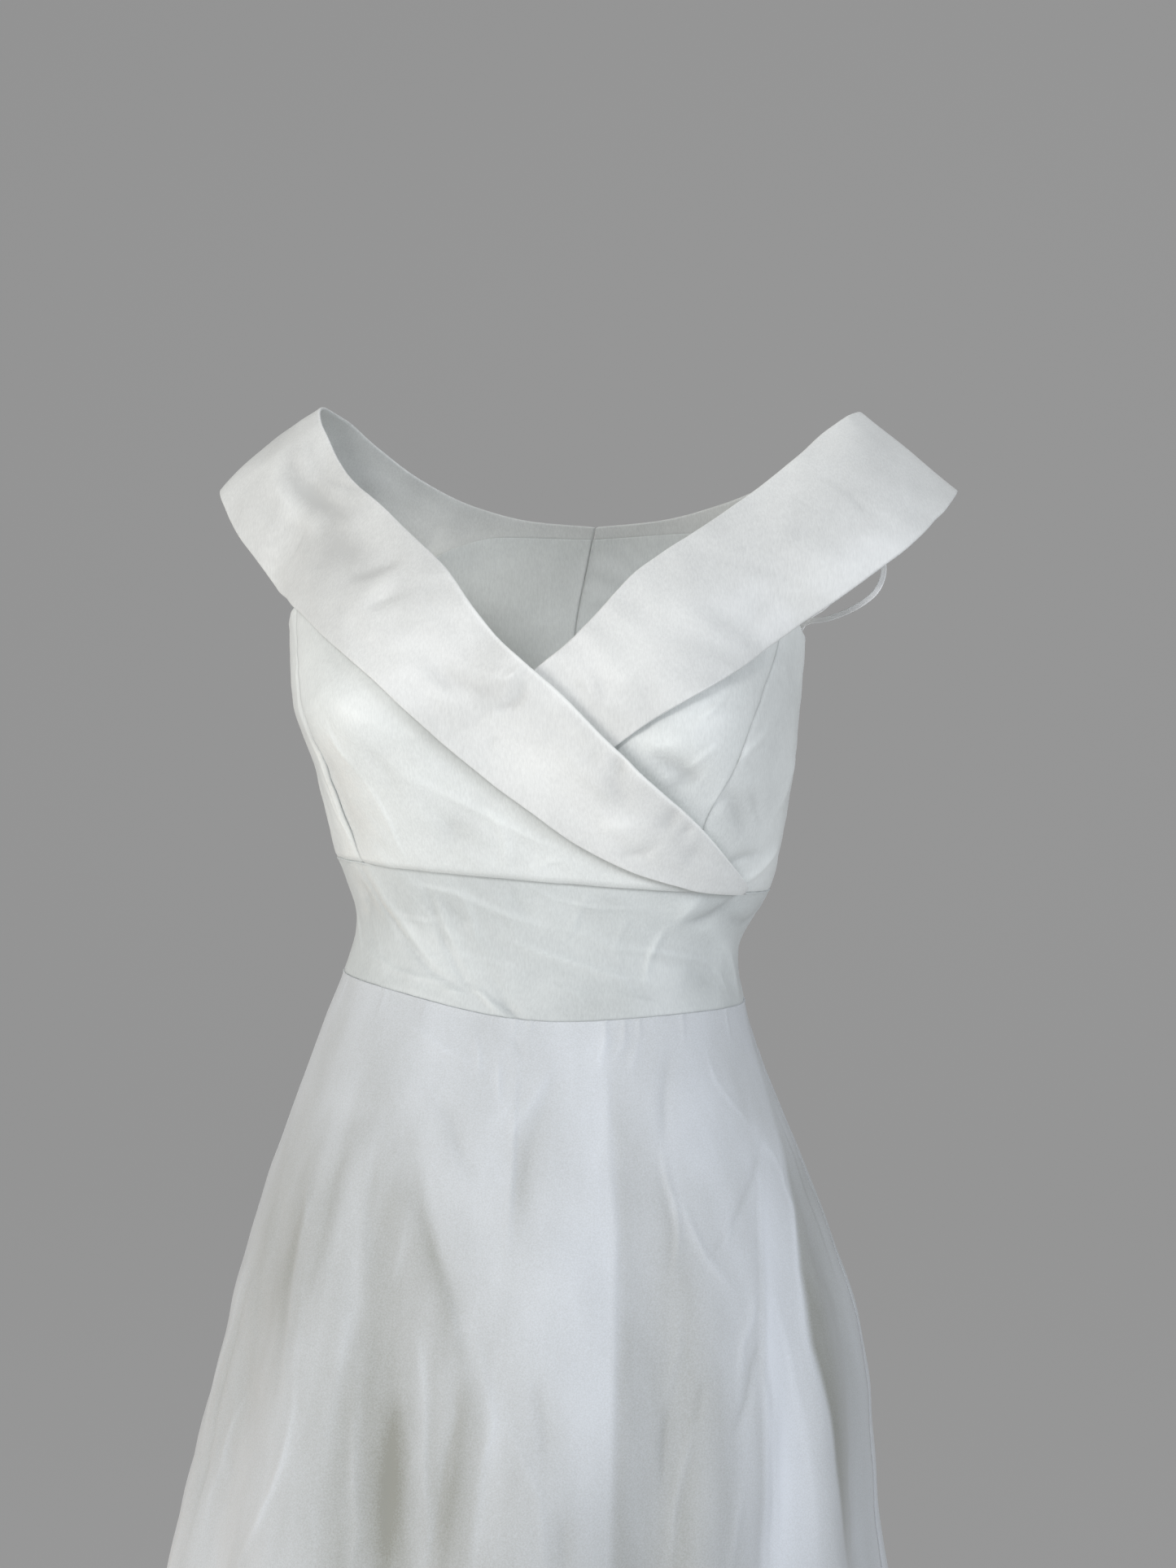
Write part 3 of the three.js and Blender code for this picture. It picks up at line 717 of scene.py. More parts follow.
COLLAR_OVER_CREASES = [
    (28, 1.1, 0.0, [(12.8, 0.4), (15.5, 0.45), (18.5, 0.45), (21, 0.5)]),
    (26, -1.6, 0.0, [(8.7, 0.45), (10.5, 0.6), (12.3, 0.6)]),
    (26, -1.2, 0.0, [(6.4, 0.2), (6.7, 0.5), (7.2, 0.85)]),
    (5, -2.7, 1.3, [(7.4, 0.74), (7.6, 0.67), (8.0, 0.64), (8.4, 0.64), (9.2, 0.71), (10.4, 0.77)]),
    (6, 1.8, 0.4, [(7.0, 0.66), (7.5, 0.52), (8.4, 0.5), (9.6, 0.56), (10.8, 0.6)]),
    (9, 1.4, 0.0, [(6.5, 0.2), (6.9, 0.5), (7.1, 0.8)]),
    (2, -0.9, 0.6, [(8.9, 0.81), (9.6, 0.91), (10.3, 0.97)]),
    (4, -0.8, 0.4, [(7.6, 0.86), (8.2, 0.83), (8.7, 0.84)]),
    (11, -1.6, 0.0, [(9.6, 0.6), (10.6, 0.6), (11.5, 0.66)]),
    (4, -2.1, 1.0, [(11.5, 0.46), (11.8, 0.59), (12.0, 0.72), (12.1, 0.82)]),
    (5, 1.0, 0.0, [(12.1, 0.45), (12.3, 0.6), (12.5, 0.75)]),
    (2.6, -1.1, 0.6, [(12.4, 0.39), (12.6, 0.53), (12.8, 0.65)]),
    (1.6, -0.7, 0.4, [(8.2, 0.16), (8.5, 0.33), (8.6, 0.42)]),
    (1.8, -0.8, 0.6, [(9.1, 0.2), (9.3, 0.37), (9.3, 0.53)]),
    (1.6, -0.6, 0.4, [(10.2, 0.3), (10.8, 0.43)]),
    (8, -1.8, 0.3, [(14.4, 0.4), (14.9, 0.44), (15.4, 0.51), (15.9, 0.61), (16.2, 0.64)]),
    (2.6, -2.0, 1.0, [(16.1, 0.58), (16.35, 0.64), (16.4, 0.78), (16.3, 0.86)]),
    (1.6, -0.8, 0.5, [(16.0, 0.3), (16.1, 0.47), (16.2, 0.54)]),
    (1.9, 1.0, -0.9, [(15.9, 0.75), (16.0, 0.89), (16.0, 1.0)]),
    (1.8, -0.7, 0.4, [(16.5, 0.25), (16.5, 0.38)]),
    (2.2, -1.0, 0.6, [(18.0, 0.68), (18.0, 0.81), (18.0, 0.9)]),
    (4, -1.8, 0.8, [(18.5, 0.82), (18.35, 0.92), (18.3, 1.0)]),
    (5, -1.4, 0.4, [(18.3, 0.76), (18.6, 0.74), (19.0, 0.64)]),
    (4, -1.8, 0.8, [(19.6, 0.68), (19.6, 0.84), (19.5, 0.98)]),
    (6, 1.4, 0.3, [(18.9, 0.3), (19.1, 0.45), (19.3, 0.6)]),
    (2.2, -1.4, 0.8, [(19.5, 0.12), (19.7, 0.31), (19.7, 0.55)]),
    (2.2, -1.4, 0.6, [(19.95, 0.74), (19.85, 0.96)]),
    (7, -1.0, 0.5, [(20.3, 0.8), (20.4, 0.4)]),
    (6, 1.1, 0.5, [(1.4, 0.16), (2.1, 0.52), (2.3, 0.84)]),
    (6, -1.4, 0.6, [(3.4, 0.84), (4.0, 0.56), (4.9, 0.42)]),
    (2.2, -0.9, 0.6, [(5.2, 0.2), (5.5, 0.5)]),
    (1.6, 0.6, 0.5, [(4.4, 0.14), (4.7, 0.34)]),
]
COLLAR_UNDER_CREASES = [
    (28, 1.1, 0.0, [(9.3, 0.4), (11, 0.5), (13.5, 0.6)]),
    (1.6, -0.8, 0.7, [(5.4, 0.8), (5.8, 0.63), (6.1, 0.49), (6.4, 0.37), (6.5, 0.26), (6.5, 0.1)]),
    (1.6, -0.7, 0.5, [(8.1, 0.8), (8.4, 0.61), (8.5, 0.49), (8.5, 0.38), (8.7, 0.24)]),
    (1.7, 0.6, 0.4, [(10.3, 0.52), (9.5, 0.32), (9.2, 0.14)]),
    (4, -0.5, 0.2, [(1.9, 0.6), (1.6, 0.44), (1.2, 0.36)]),
    (6, -0.6, 0.1, [(2.6, 0.38), (2.5, 0.2), (2.2, 0.1)]),
    (2.2, -0.6, 0.3, [(0.8, 0.6), (1.4, 0.64)]),
    (24, 1.0, 0.0, [(1.5, 0.3), (3.0, 0.5), (5.0, 0.6)]),
    (8, -0.9, 0.2, [(6.0, 0.4), (5.6, 0.27), (5.2, 0.14)]),
    (10, -0.8, 0.1, [(7.0, 0.7), (7.4, 0.5), (7.7, 0.36)]),
    (9, 0.7, 0.1, [(4.2, 0.7), (4.5, 0.4), (4.7, 0.2)]),
    (6, 0.7, 0.3, [(12.2, 0.84), (12.8, 0.5), (13.4, 0.3)]),
    (5, -0.8, 0.4, [(14.2, 0.3), (14.7, 0.6), (15.4, 0.84)]),
    (2.2, 0.8, -0.5, [(16.1, 0.16), (16.2, 0.44)]),
    (1.8, -0.6, 0.4, [(11.0, 0.3), (11.3, 0.6)]),
]

# A slightly darker copy of the bodice's satin: painted shade
collar_satin_shaded = satin("ivory satin, folded", "#f1f3f0", 0.4)
collar_over = cloth_piece("collar_of_front_over", 240, 26,
                          collar_surface(COLLAR_OVER, crossing_lift, COLLAR_OVER_CREASES, 0.7),
                          COLLAR_CLOTH, collar_satin_shaded, levels=1)
declare("collar_over")

collar_under = cloth_piece("collar_of_front_under", 190, 26,
                           collar_surface(COLLAR_UNDER, on_figure, COLLAR_UNDER_CREASES),
                           COLLAR_CLOTH, collar_satin_shaded, levels=1)
declare("collar_under")

SHADOW_WIDTH = 3.2
OVER_ON_BODICE = 7      # the ruling from which the upper collar lies on the bodice
OVER_ON_UNDER = 15      # and from which its fold crosses the other front
UNDER_ON_BODICE = 8     # the ruling up to which the lower collar lies on the bodice


def shade_along(turn, height, layer, shade, pieces):
    """Darkens pieces in a soft line where a collar's edge lies on them and keeps the light off."""
    route = place(turn, height, layer)
    for name in pieces:
        mesh = bpy.data.objects[name].data
        points = np.array([vert.co for vert in mesh.vertices]) / MM
        near, _ = next(along_routes(points, [(SHADOW_WIDTH, route)]))
        tone = np.empty(len(points), np.float32)
        mesh.attributes["tone"].data.foreach_get("value", tone)
        mesh.attributes["tone"].data.foreach_set("value", tone - shade * near)


over_edge = [COLLAR_OVER[name][OVER_ON_BODICE:] for name in ("edgeTurn", "edgeHeight")]
shade_along(*over_edge, crossing_lift(*over_edge), 0.6, ["side_right", "front_over"])
over_fold = [COLLAR_OVER[name][OVER_ON_UNDER:] for name in ("foldTurn", "foldHeight")]
shade_along(*over_fold, 0, 0.35, ["front_under", "side_left"])
shade_along(*over_fold, LAYER_GAP + COLLAR_CLOTH, 0.25, ["collar_of_front_under"])
under_edge = [COLLAR_UNDER[name][:UNDER_ON_BODICE] for name in ("edgeTurn", "edgeHeight")]
shade_along(*under_edge, 0, 0.5, ["front_under", "side_left"])

# Waistband
# The same satin: a plain fitted band, sewn between the bodice and the skirt. The figure stretches
# it crosswise, so that long slack creases run down to its middle.
WAIST_SEAM = -29
WAIST_DIP = 10
WAIST_DIP_TURN = 4
WAIST_DIP_WIDTH = 34
BAND_TOP = UNDERBUST - SEAM_GAP / 2
BAND_CREASES = [
    (20, 1.0, 0.0, [(60, -38), (66, 0), (72, 38)]),
    (1.2, 0.4, 0.2, [(-35, 36), (-30, 20), (-22, 6), (-10, -4)]),
    (1.2, 0.4, 0.2, [(-46, 8), (-38, 12), (-28, 10), (-18, 14)]),
    (1.2, 0.4, 0.2, [(-32, -14), (-22, -8), (-10, -8), (2, -14)]),
    (1.2, 0.4, -0.2, [(-8, 32), (-4, 20), (-2, 8), (4, -6)]),
    (1.2, 0.5, 0.2, [(2, 36), (8, 30), (18, 27), (30, 28)]),
    (1.2, 0.4, 0.2, [(14, 4), (22, -2), (30, -16), (34, -28)]),
    (1.2, 0.4, -0.2, [(24, 34), (27, 20), (26, 6), (28, -8)]),
    (1.2, 0.5, 0.2, [(6, -18), (16, -22), (28, -22), (40, -26)]),
    (1.2, 0.4, 0.2, [(-58, 26), (-50, 2), (-44, -14), (-38, -30)]),
    (1.2, 0.4, 0.2, [(48, 8), (56, 2), (66, -10), (70, -26)]),
    (2.2, -1.0, 1.0, [(-49, 38), (-47, 26), (-43, 13), (-37, 0), (-31, -9), (-25, -18),
                      (-13, -27)]),
    (4, 1.0, 0.3, [(-44, 38), (-42, 20), (-36, 6), (-30, -5), (-24, -13), (-17, -21)]),
    (1.8, -1.0, 0.8, [(-27, 36), (-25, 14), (-22, -2), (-19, -10), (-15, -21), (-9, -30),
                      (-3, -39)]),
    (2.6, 1.0, 0.2, [(-24, 24), (-22, 10), (-19, 0), (-16, -8)]),
    (1.8, 1.9, -0.8, [(-13, -24), (-9, -28), (-6, -33), (-3, -38)]),
    (2.2, -1.7, 0.5, [(-4, -29), (-1, -34), (2, -39)]),
    (2.2, 0.8, 0.5, [(-16, 29), (-14, 17), (-13, 7), (-11, 1)]),
    (2.2, 0.8, 0.6, [(-29, 31), (-19, 29), (-14, 26), (-6, 20), (2, 16), (9, 13)]),
    (4, -1.0, 0.2, [(-22, 22), (-18, 14), (-15, 8)]),
    (1.6, 1.3, 0.6, [(-4, 6), (4, 0), (8, -2), (12, -4), (19, -7), (25, -11), (36, -13)]),
    (1.6, 0.6, 0.5, [(10, 15), (13, 14), (19, 11), (25, 5), (37, 4), (51, 0), (66, -3)]),
    (1.8, 1.1, -0.6, [(39, 18), (37, 5), (36, -4), (35, -13)]),
    (1.6, 0.5, 0.8, [(17, 38), (15, 24), (14, 12), (11, 2)]),
    (1.9, -0.6, 0.4, [(-4, 35), (-2, 26), (3, 16)]),
    (1.6, 0.6, 0.4, [(-54, -12), (-43, -16), (-37, -20), (-27, -22), (-19, -22)]),
    (1.6, -0.5, 0.4, [(-9, -16), (-2, -28)]),
    (1.6, 0.6, 0.3, [(-20, -26), (-14, -28)]),
    (4, -2.2, 0.9, [(57, 37), (55, 31), (51, 25), (45, 21)]),
    (7, 1.8, 0.2, [(46, 38), (43, 28), (41, 20)]),
    (4, -1.8, 0.6, [(58, 27), (66, 22), (76, 20), (90, 27)]),
    (6, 1.8, 0.2, [(54, 18), (62, 10), (72, 2), (78, -10), (80, -26)]),
    (9, -1.0, 0.1, [(48, -6), (56, -12), (64, -18)]),
    (2.2, 0.6, 0.5, [(-72, 12), (-62, -4), (-54, -16)]),
    (2.2, -0.8, 0.5, [(-84, 26), (-80, 4), (-82, -20)]),
    (5, -1.0, 0.4, [(-52, 30), (-51, 16), (-55, 2)]),
]
BAND_BACK_CREASES = [
    (6, 0.9, 0.6, [(100, 30), (118, 8), (140, -16)]),
    (5, 0.7, -0.5, [(172, 26), (158, 6), (150, -18)]),
    (6, 0.7, 0.5, [(96, -4), (112, -14), (128, -22)]),
    (5, 0.6, 0.4, [(132, 34), (140, 18), (146, 6)]),
    (6, 0.9, 0.6, [(-98, 24), (-114, 4), (-134, -14)]),
    (5, 0.7, -0.5, [(-176, 12), (-160, -2), (-142, -12)]),
    (5, 0.6, 0.4, [(-128, 34), (-140, 16), (-150, 8)]),
]


def waist_seam(turn):
    """The height of the seam between waistband and skirt, which dips at the front."""
    return WAIST_SEAM - WAIST_DIP * np.exp(-(((turn - WAIST_DIP_TURN) / WAIST_DIP_WIDTH) ** 2))


def band_bottom(start, stop):
    return lambda along: waist_seam(mix(start, stop, along)) + SEAM_GAP / 2


# A darker copy of the same satin: painted shade for the band under the bust, where its sheen turns
# away
band_satin_shaded = satin("ivory satin, stretched", "#e1e6e4", 0.44)
for name, start, stop, columns, flat in (
    ("front", -SIDE_SEAM, SIDE_SEAM, 300, (0.35, 0.076)),
    ("back_right", -CENTRE_BACK, -SIDE_SEAM, 110, (0.175, 0.07)),
    ("back_left", SIDE_SEAM, CENTRE_BACK, 110, (0.175, 0.07)),
):
    edges = [edge(straight(turn), level(BAND_TOP), band_bottom(start, stop))
             for turn in (start, stop)]
    piece = cloth_piece(
        "waistband_" + name, columns, 68,
        panel_surface(*edges, BAND_CREASES if name == "front" else BAND_BACK_CREASES,
                      seams=(0.35, 0.35, 0.25, -0.5)),
        PANEL_CLOTH, band_satin_shaded)
    declare("midriff_" + name)

# Skirt
# Off-white chiffon over a smooth lining, cut as an A-line front and two back halves, seamed at
# the sides and the centre back and let hang, so that soft folds open out toward the hem.
HEM = -1050
HIP = -120
SLANT_REACH = 350
FOLD_GROWTH = 0.85
SKIRT_ROWS = {"near": 385, "far": 625, "start": 0.03, "spread": 12}
SKIRT_SEAM_DIP = 0.4
SKIRT_SEAM_REACH = 2.5
HEM_FOLD = 9
# Each fold's turn, its slant in degrees for 100 mm down, width, size and the height of its start
SKIRT_FOLDS = [
    [-66, 2, 5, 13, -120], [-52, 2, 6, -16, -90], [-37, 3, 7, 15, -70], [-24, 7, 8, -26, -60],
    [8, 1, 10, 20, -50], [29, 0, 6, -17, -60], [39, -2, 5, 12, -110], [62, -6, 5, -18, -90],
    [57, 3, 5, 24, -150], [78, 1, 6, -19, -70], [94, 1, 6, 21, -90], [110, 0, 7, -20, -80],
    [126, -1, 6, 22, -60], [141, 0, 7, -24, -70], [157, 1, 7, 23, -90], [172, 0, 6, -18, -60],
    [-171, -1, 6, 20, -80], [-156, 1, 7, -22, -70], [-139, 1, 7, 24, -60], [-122, 0, 7, -20, -90],
    [-106, -1, 6, 22, -70], [-88, 0, 6, -19, -80],
]
SKIRT_CREASES = [
    (1.5, 0.6, 0.3, [(-9, -49), (-7, -57), (-6, -71)]),
    (1.5, 0.8, 0.2, [(-2, -61), (-1, -82)]),
    (2, 0.3, 0.9, [(3, -62), (3, -92), (3, -117), (3, -156)]),
    (1.8, 0.5, 0.2, [(2, -79), (1, -86), (-1, -94)]),
    (3.5, 0.8, 0.4, [(11, -64), (7, -80), (4, -90), (2, -101)]),
    (7, -0.8, 0.2, [(12, -66), (9, -86), (6, -104), (5, -125), (6, -146)]),
    (1.8, -0.5, 0.2, [(1, -48), (4, -59)]),
    (3, 0.7, 0.3, [(24, -40), (24, -49), (22, -62)]),
    (2, 0.5, 0.2, [(29, -40), (29, -47), (26, -58)]),
    (2, 0.5, 0.2, [(33, -46), (30, -62)]),
    (2, 0.1, 0.5, [(25, -42), (24, -77), (23, -106), (23, -147), (21, -218), (22, -320)]),
    (4, -0.8, 0.3, [(41, -54), (38, -72), (35, -100)]),
    (1.8, 0.6, -1.0, [(34, -105), (34, -119), (35, -132), (35, -144), (34, -156), (33, -168)]),
    (1.8, 0.9, 0.3, [(37, -130), (38, -142), (39, -151), (40, -159), (42, -166), (45, -178)]),
    (2, 0.7, 0.2, [(48, -142), (45, -154)]),
    (2, -0.7, 0.5, [(68, -98), (60, -115), (53, -131), (48, -144), (43, -155), (40, -161)]),
    (1.6, 0.5, -0.5, [(53, -52), (54, -69), (57, -79), (61, -92), (63, -98)]),
    (2, 0.2, -1.1, [(61, -112), (56, -145), (51, -186), (48, -222), (48, -290), (49, -330)]),
    (2, 0.6, 0.3, [(66, -106), (69, -115), (70, -127)]),
    (2, 0.7, -0.4, [(74, -104), (69, -129), (70, -142), (64, -175), (61, -209), (61, -256)]),
    (1.8, 0.4, 0.4, [(33, -183), (33, -201), (31, -217), (30, -231)]),
    (2.6, -0.9, 0.3, [(30, -231), (29, -249), (29, -272)]),
    (1.8, 0.9, 0.3, [(34, -242), (33, -253), (32, -265), (31, -285), (31, -312)]),
    (1.8, -0.5, 0.3, [(36, -219), (34, -243)]),
    (1.8, 0.9, 0.3, [(50, -180), (48, -193), (45, -204), (44, -214), (43, -224)]),
    (2.2, -1.0, 0.6, [(49, -204), (46, -217), (44, -232), (41, -248)]),
    (1.8, 0.2, -1.0, [(50, -245), (51, -292), (51, -330)]),
    (2.4, 0.6, -0.5, [(55, -186), (56, -210), (56, -232), (57, -258), (58, -284), (59, -325)]),
    (1.8, -0.7, 0.2, [(50, -222), (50, -248)]),
    (2, 0.8, 0.3, [(43, -276), (42, -290), (41, -320)]),
    (1.6, 0.5, 0.4, [(-29, -44), (-23, -51), (-16, -59), (-11, -62), (-6, -67)]),
    (5, -0.7, 0.3, [(-16, -83), (-11, -97), (-8, -112), (-5, -122)]),
    (7, -1.3, 0.5, [(-18, -133), (-15, -143), (-12, -158), (-9, -172), (-6, -187), (-4, -200)]),
    (6, -1.1, 0.3, [(-37, -109), (-36, -121), (-37, -135), (-36, -151), (-35, -185)]),
    (3, 0.2, 0.8, [(-29, -116), (-28, -143), (-25, -167), (-24, -190)]),
    (4, 0.7, 0.2, [(-18, -150), (-18, -163), (-19, -180)]),
    (3, 0.2, -1.0, [(-46, -133), (-44, -151), (-42, -175), (-40, -199), (-39, -224), (-36, -257)]),
    (1.8, 0.6, 0.2, [(-45, -140), (-41, -160)]),
    (1.8, -0.8, 0.3, [(-59, -193), (-59, -231), (-59, -267), (-57, -301), (-57, -338)]),
    (1.8, 0.7, 0.2, [(-63, -196), (-62, -229), (-64, -263), (-61, -293)]),
    (2.6, 1.3, 0.5, [(-34, -238), (-33, -260), (-33, -274), (-34, -290), (-36, -310), (-39, -332)]),
    (1.6, 0.7, 0.3, [(-50, -255), (-52, -269), (-53, -284), (-53, -292), (-49, -306)]),
    (1.6, 0.5, 0.2, [(-53, -290), (-53, -301), (-54, -315), (-53, -335)]),
    (3, 0.2, 0.7, [(-38, -179), (-36, -205), (-35, -229), (-34, -243)]),
    (4, 0.5, 0.6, [(-28, -187), (-26, -208), (-26, -228), (-26, -266)]),
    (2.4, 0.6, -0.7, [(-23, -235), (-22, -254), (-20, -281), (-18, -300), (-18, -320)]),
    (2.4, 0.5, -0.4, [(-15, -226), (-13, -247), (-11, -261), (-11, -285), (-9, -306)]),
    (3.5, 1.0, 0.9, [(-13, -200), (-10, -229), (-9, -256), (-8, -275), (-6, -294), (-6, -316)]),
    (8, -1.0, 0.2, [(-16, -234), (-15, -259), (-14, -287), (-12, -318)]),
    (3, -1.1, -0.6, [(-5, -220), (-4, -238), (-5, -258), (-5, -289), (-5, -312)]),
    (1.8, 0.5, 0.3, [(-9, -176), (-6, -192), (-5, -205)]),
    (3, 0.6, 0.4, [(-2, -196), (1, -227), (2, -239), (1, -258), (1, -289), (1, -308)]),
    (2.4, 0.5, 0.5, [(4, -238), (6, -249), (10, -271), (11, -287), (12, -305)]),
    (5, -0.8, 0.2, [(8, -216), (9, -229), (10, -241), (10, -254)]),
    (2, 0.5, 0.3, [(-27, -288), (-25, -299), (-24, -308)]),
    (5, -0.7, 0.2, [(15, -310), (14, -287), (13, -277)]),
    (2, 0.5, 0.4, [(-70, -60), (-72, -110), (-74, -170)]),
    (2.4, -0.6, 0.4, [(82, -90), (84, -140), (86, -200)]),
]
SKIRT_BACK_CREASES = [
    (1.6, 0.7, 0.3, [(100, -42), (101, -60), (103, -78)]),
    (3, 0.8, 0.5, [(112, -70), (109, -110), (110, -170), (107, -240)]),
    (7, -1.4, 0.3, [(124, -90), (121, -140), (123, -200), (120, -260)]),
    (2, 0.8, -0.6, [(136, -120), (134, -160), (130, -210), (131, -300)]),
    (2, 0.5, 0.4, [(120, -48), (130, -58), (140, -66)]),
    (5, -1.1, 0.4, [(148, -80), (151, -120), (150, -180)]),
    (1.8, 0.8, 0.4, [(158, -200), (160, -260), (158, -330)]),
    (2, 0.1, 0.9, [(168, -44), (167, -120), (168, -220), (167, -330)]),
    (3, 0.9, 0.4, [(145, -260), (143, -330), (146, -410)]),
    (6, -1.2, 0.3, [(112, -330), (114, -420), (111, -520)]),
    (2, 0.8, 0.4, [(-98, -120), (-100, -170), (-98, -240)]),
    (2, 0.6, 0.4, [(-104, -44), (-112, -56), (-124, -63)]),
    (6, -1.3, 0.3, [(-112, -100), (-110, -150), (-113, -220)]),
    (2.2, 0.8, -0.7, [(-126, -70), (-124, -130), (-126, -200), (-123, -300)]),
    (1.8, 0.7, 0.3, [(-139, -150), (-143, -180), (-146, -215)]),
    (7, -1.4, 0.3, [(-152, -110), (-154, -170), (-152, -250)]),
    (2, 0.1, -0.9, [(-160, -60), (-161, -140), (-160, -260), (-161, -360)]),
    (3, 0.9, 0.4, [(-133, -280), (-136, -350), (-133, -430)]),
    (5, -1.0, 0.3, [(-168, -300), (-170, -380), (-169, -480)]),
]
# Each small pleat's turn, its top, how tall it is and how far it stands out
SKIRT_PUCKERS = [(turn, -40, 7 + 5 * math.sin(turn * 2.3) ** 2, 0.4)
                 for turn in (-61, -38, -24, 1, 5, 24, 29, 33, 46, 66, 104, 131, 152, -117, -158)]
# Paler and darker columns, painted light and shade on folds and sides and where the chiffon lies
# double or off its lining: width, shade, the side of the route shaded (0 for both) and the route
SKIRT_VEILS_AND_SHADE = [
    (110, -0.4, 0, [(-40, -220), (0, -290), (30, -400), (30, -600)]),
    (26, -0.45, 0, [(-20, -140), (-20, -230), (-19, -300), (-18, -450)]),
    (16, -0.4, 0, [(36, -120), (34, -230), (32, -330), (32, -450)]),
    (40, -0.22, 0, [(2, -225), (3, -300), (4, -450)]),
    (20, 0.35, 0, [(57, -110), (54, -200), (55, -330), (55, -450)]),
    (60, -0.4, 0, [(-60, -30), (-56, -140), (-54, -240), (-52, -400)]),
    (40, -0.3, 0, [(-34, -90), (-34, -160), (-33, -225)]),
    (45, 0.28, 1, [(25, -20), (24, -77), (23, -147), (21, -218), (22, -350)]),
    (7, -0.12, -1, [(25, -44), (24, -77), (23, -147), (21, -218), (22, -350)]),
    (34, -0.2, -1, [(25, -60), (24, -107), (23, -177), (21, -218), (22, -370)]),
    (11, -0.35, -1, [(3, -92), (3, -117), (3, -156)]),
    (26, -0.45, 1, [(-18, -110), (-12, -150), (-6, -187), (-2, -220)]),
    (7, -0.4, 1, [(34, -112), (35, -144), (33, -172)]),
    (18, 0.3, 1, [(-27, -100), (-28, -143), (-24, -190), (-25, -230)]),
    (16, -0.32, 1, [(-43, -110), (-42, -175), (-38, -240)]),
    (12, 0.4, 1, [(-10, -190), (-9, -256), (-5, -330)]),
    (12, -0.5, -1, [(-5, -210), (-4, -238), (-4, -330)]),
    (12, 0.3, -1, [(-23, -225), (-21, -281), (-18, -340)]),
    (14, 0.28, -1, [(1, -215), (1, -258), (1, -330)]),
    (12, -0.6, 0, [(-16, -225), (-15, -259), (-12, -335)]),
    (20, 0.42, -1, [(61, -105), (53, -170), (48, -230), (48, -350)]),
    (9, -0.3, 1, [(61, -120), (52, -186), (48, -240), (48, -350)]),
    (16, 0.3, -1, [(51, -235), (51, -350)]),
    (60, -1.1, -1, [(78, -90), (71, -140), (65, -175), (62, -215), (66, -300), (70, -360)]),
    (20, 0.25, 0, [(46, -60), (46, -95), (44, -130)]),
    (30, -0.3, 0, [(104, -100), (106, -200), (105, -340)]),
    (26, 0.3, -1, [(124, -60), (126, -180), (124, -320)]),
    (20, -0.35, 0, [(149, -90), (150, -200), (151, -330)]),
    (18, 0.3, 1, [(168, -50), (167, -200), (168, -340)]),
    (24, 0.3, 0, [(-104, -70), (-106, -180), (-104, -320)]),
    (22, -0.35, 1, [(-124, -80), (-126, -200), (-124, -330)]),
    (18, -0.3, 0, [(-152, -100), (-153, -220), (-152, -340)]),
]


def fold_rise(turn, height):
    """How far the skirt's folds push it in or out."""
    below = np.clip(HIP - height, -60, SLANT_REACH) / 100
    rise = 0 * turn
    for fold_turn, slant, width, size, start in SKIRT_FOLDS:
        fallen = np.clip((start - height) / (start - HEM), 0, 1)
        away = np.mod(turn - fold_turn - slant * below + 180, 360) - 180
        shape = np.exp(-((away / width) ** 2))
        rise = rise + size * fallen**FOLD_GROWTH * ease(fallen, 0, 0.12) * shape
    return rise


def skirt_fall(down):
    """How far down a share of the rows is, in no unit: even to below the hip, then spread out."""
    near = SKIRT_ROWS["near"] * down * down / (down + SKIRT_ROWS["start"])
    return near + SKIRT_ROWS["far"] * down ** SKIRT_ROWS["spread"]


def skirt_surface(start, stop, creases):
    """The outer points of a skirt panel, with more columns toward its middle and more rows toward
    its top than below the hip. The last row folds the narrow hem."""

    def surface(along, up):
        along = crowd(along, -0.3)
        seam = waist_seam(mix(start, stop, along)) - SEAM_GAP / 2
        down = 1 - up
        height = mix(seam, HEM + HEM_FOLD, skirt_fall(down) / skirt_fall(1))
        height = np.where(up < 1e-6, HEM, height)
        turn = mix(start + half_gap(start + 0 * along, height),
                   stop - half_gap(stop + 0 * along, height), along)
        rise = fold_rise(turn, height)
        points = place(turn, height, 0)
        width = np.linalg.norm(place(stop + 0 * turn, height, 0)
                               - place(start + 0 * turn, height, 0), axis=-1)
        relief, pale = crease_relief(points, cloth_creases(creases))
        relief += slack(points, 0.4, 30) * ease(seam - height, 10, 80)
        for off in (width * along, width * (1 - along)):
            relief += seam_relief(off, height, SKIRT_SEAM_DIP, SKIRT_SEAM_REACH)
        relief += seam_relief(seam - height, turn * 2.3, -0.5, 1.4)
        for pucker_turn, pucker_top, tall, size in SKIRT_PUCKERS:
            away = (turn - pucker_turn) / 0.6
            relief += size * np.exp(-away**2) * ease(pucker_top - tall - height, 0, -tall)
        # The tone: painted highlights and shade of the creases, then the columns' painted light and
        # shade
        tone = 0.5 + pale
        routes = [(wide, place(*np.array(route, float).T, 0)) for wide, _, _, route in SKIRT_VEILS_AND_SHADE]
        for (wide, shade, side, _), (near, left) in zip(SKIRT_VEILS_AND_SHADE, along_routes(points, routes)):
            tone += shade * near * (ease(side * left * wide, -3, 5) if side else 1)
        return place(turn, height, relief, rise), tone

    return surface


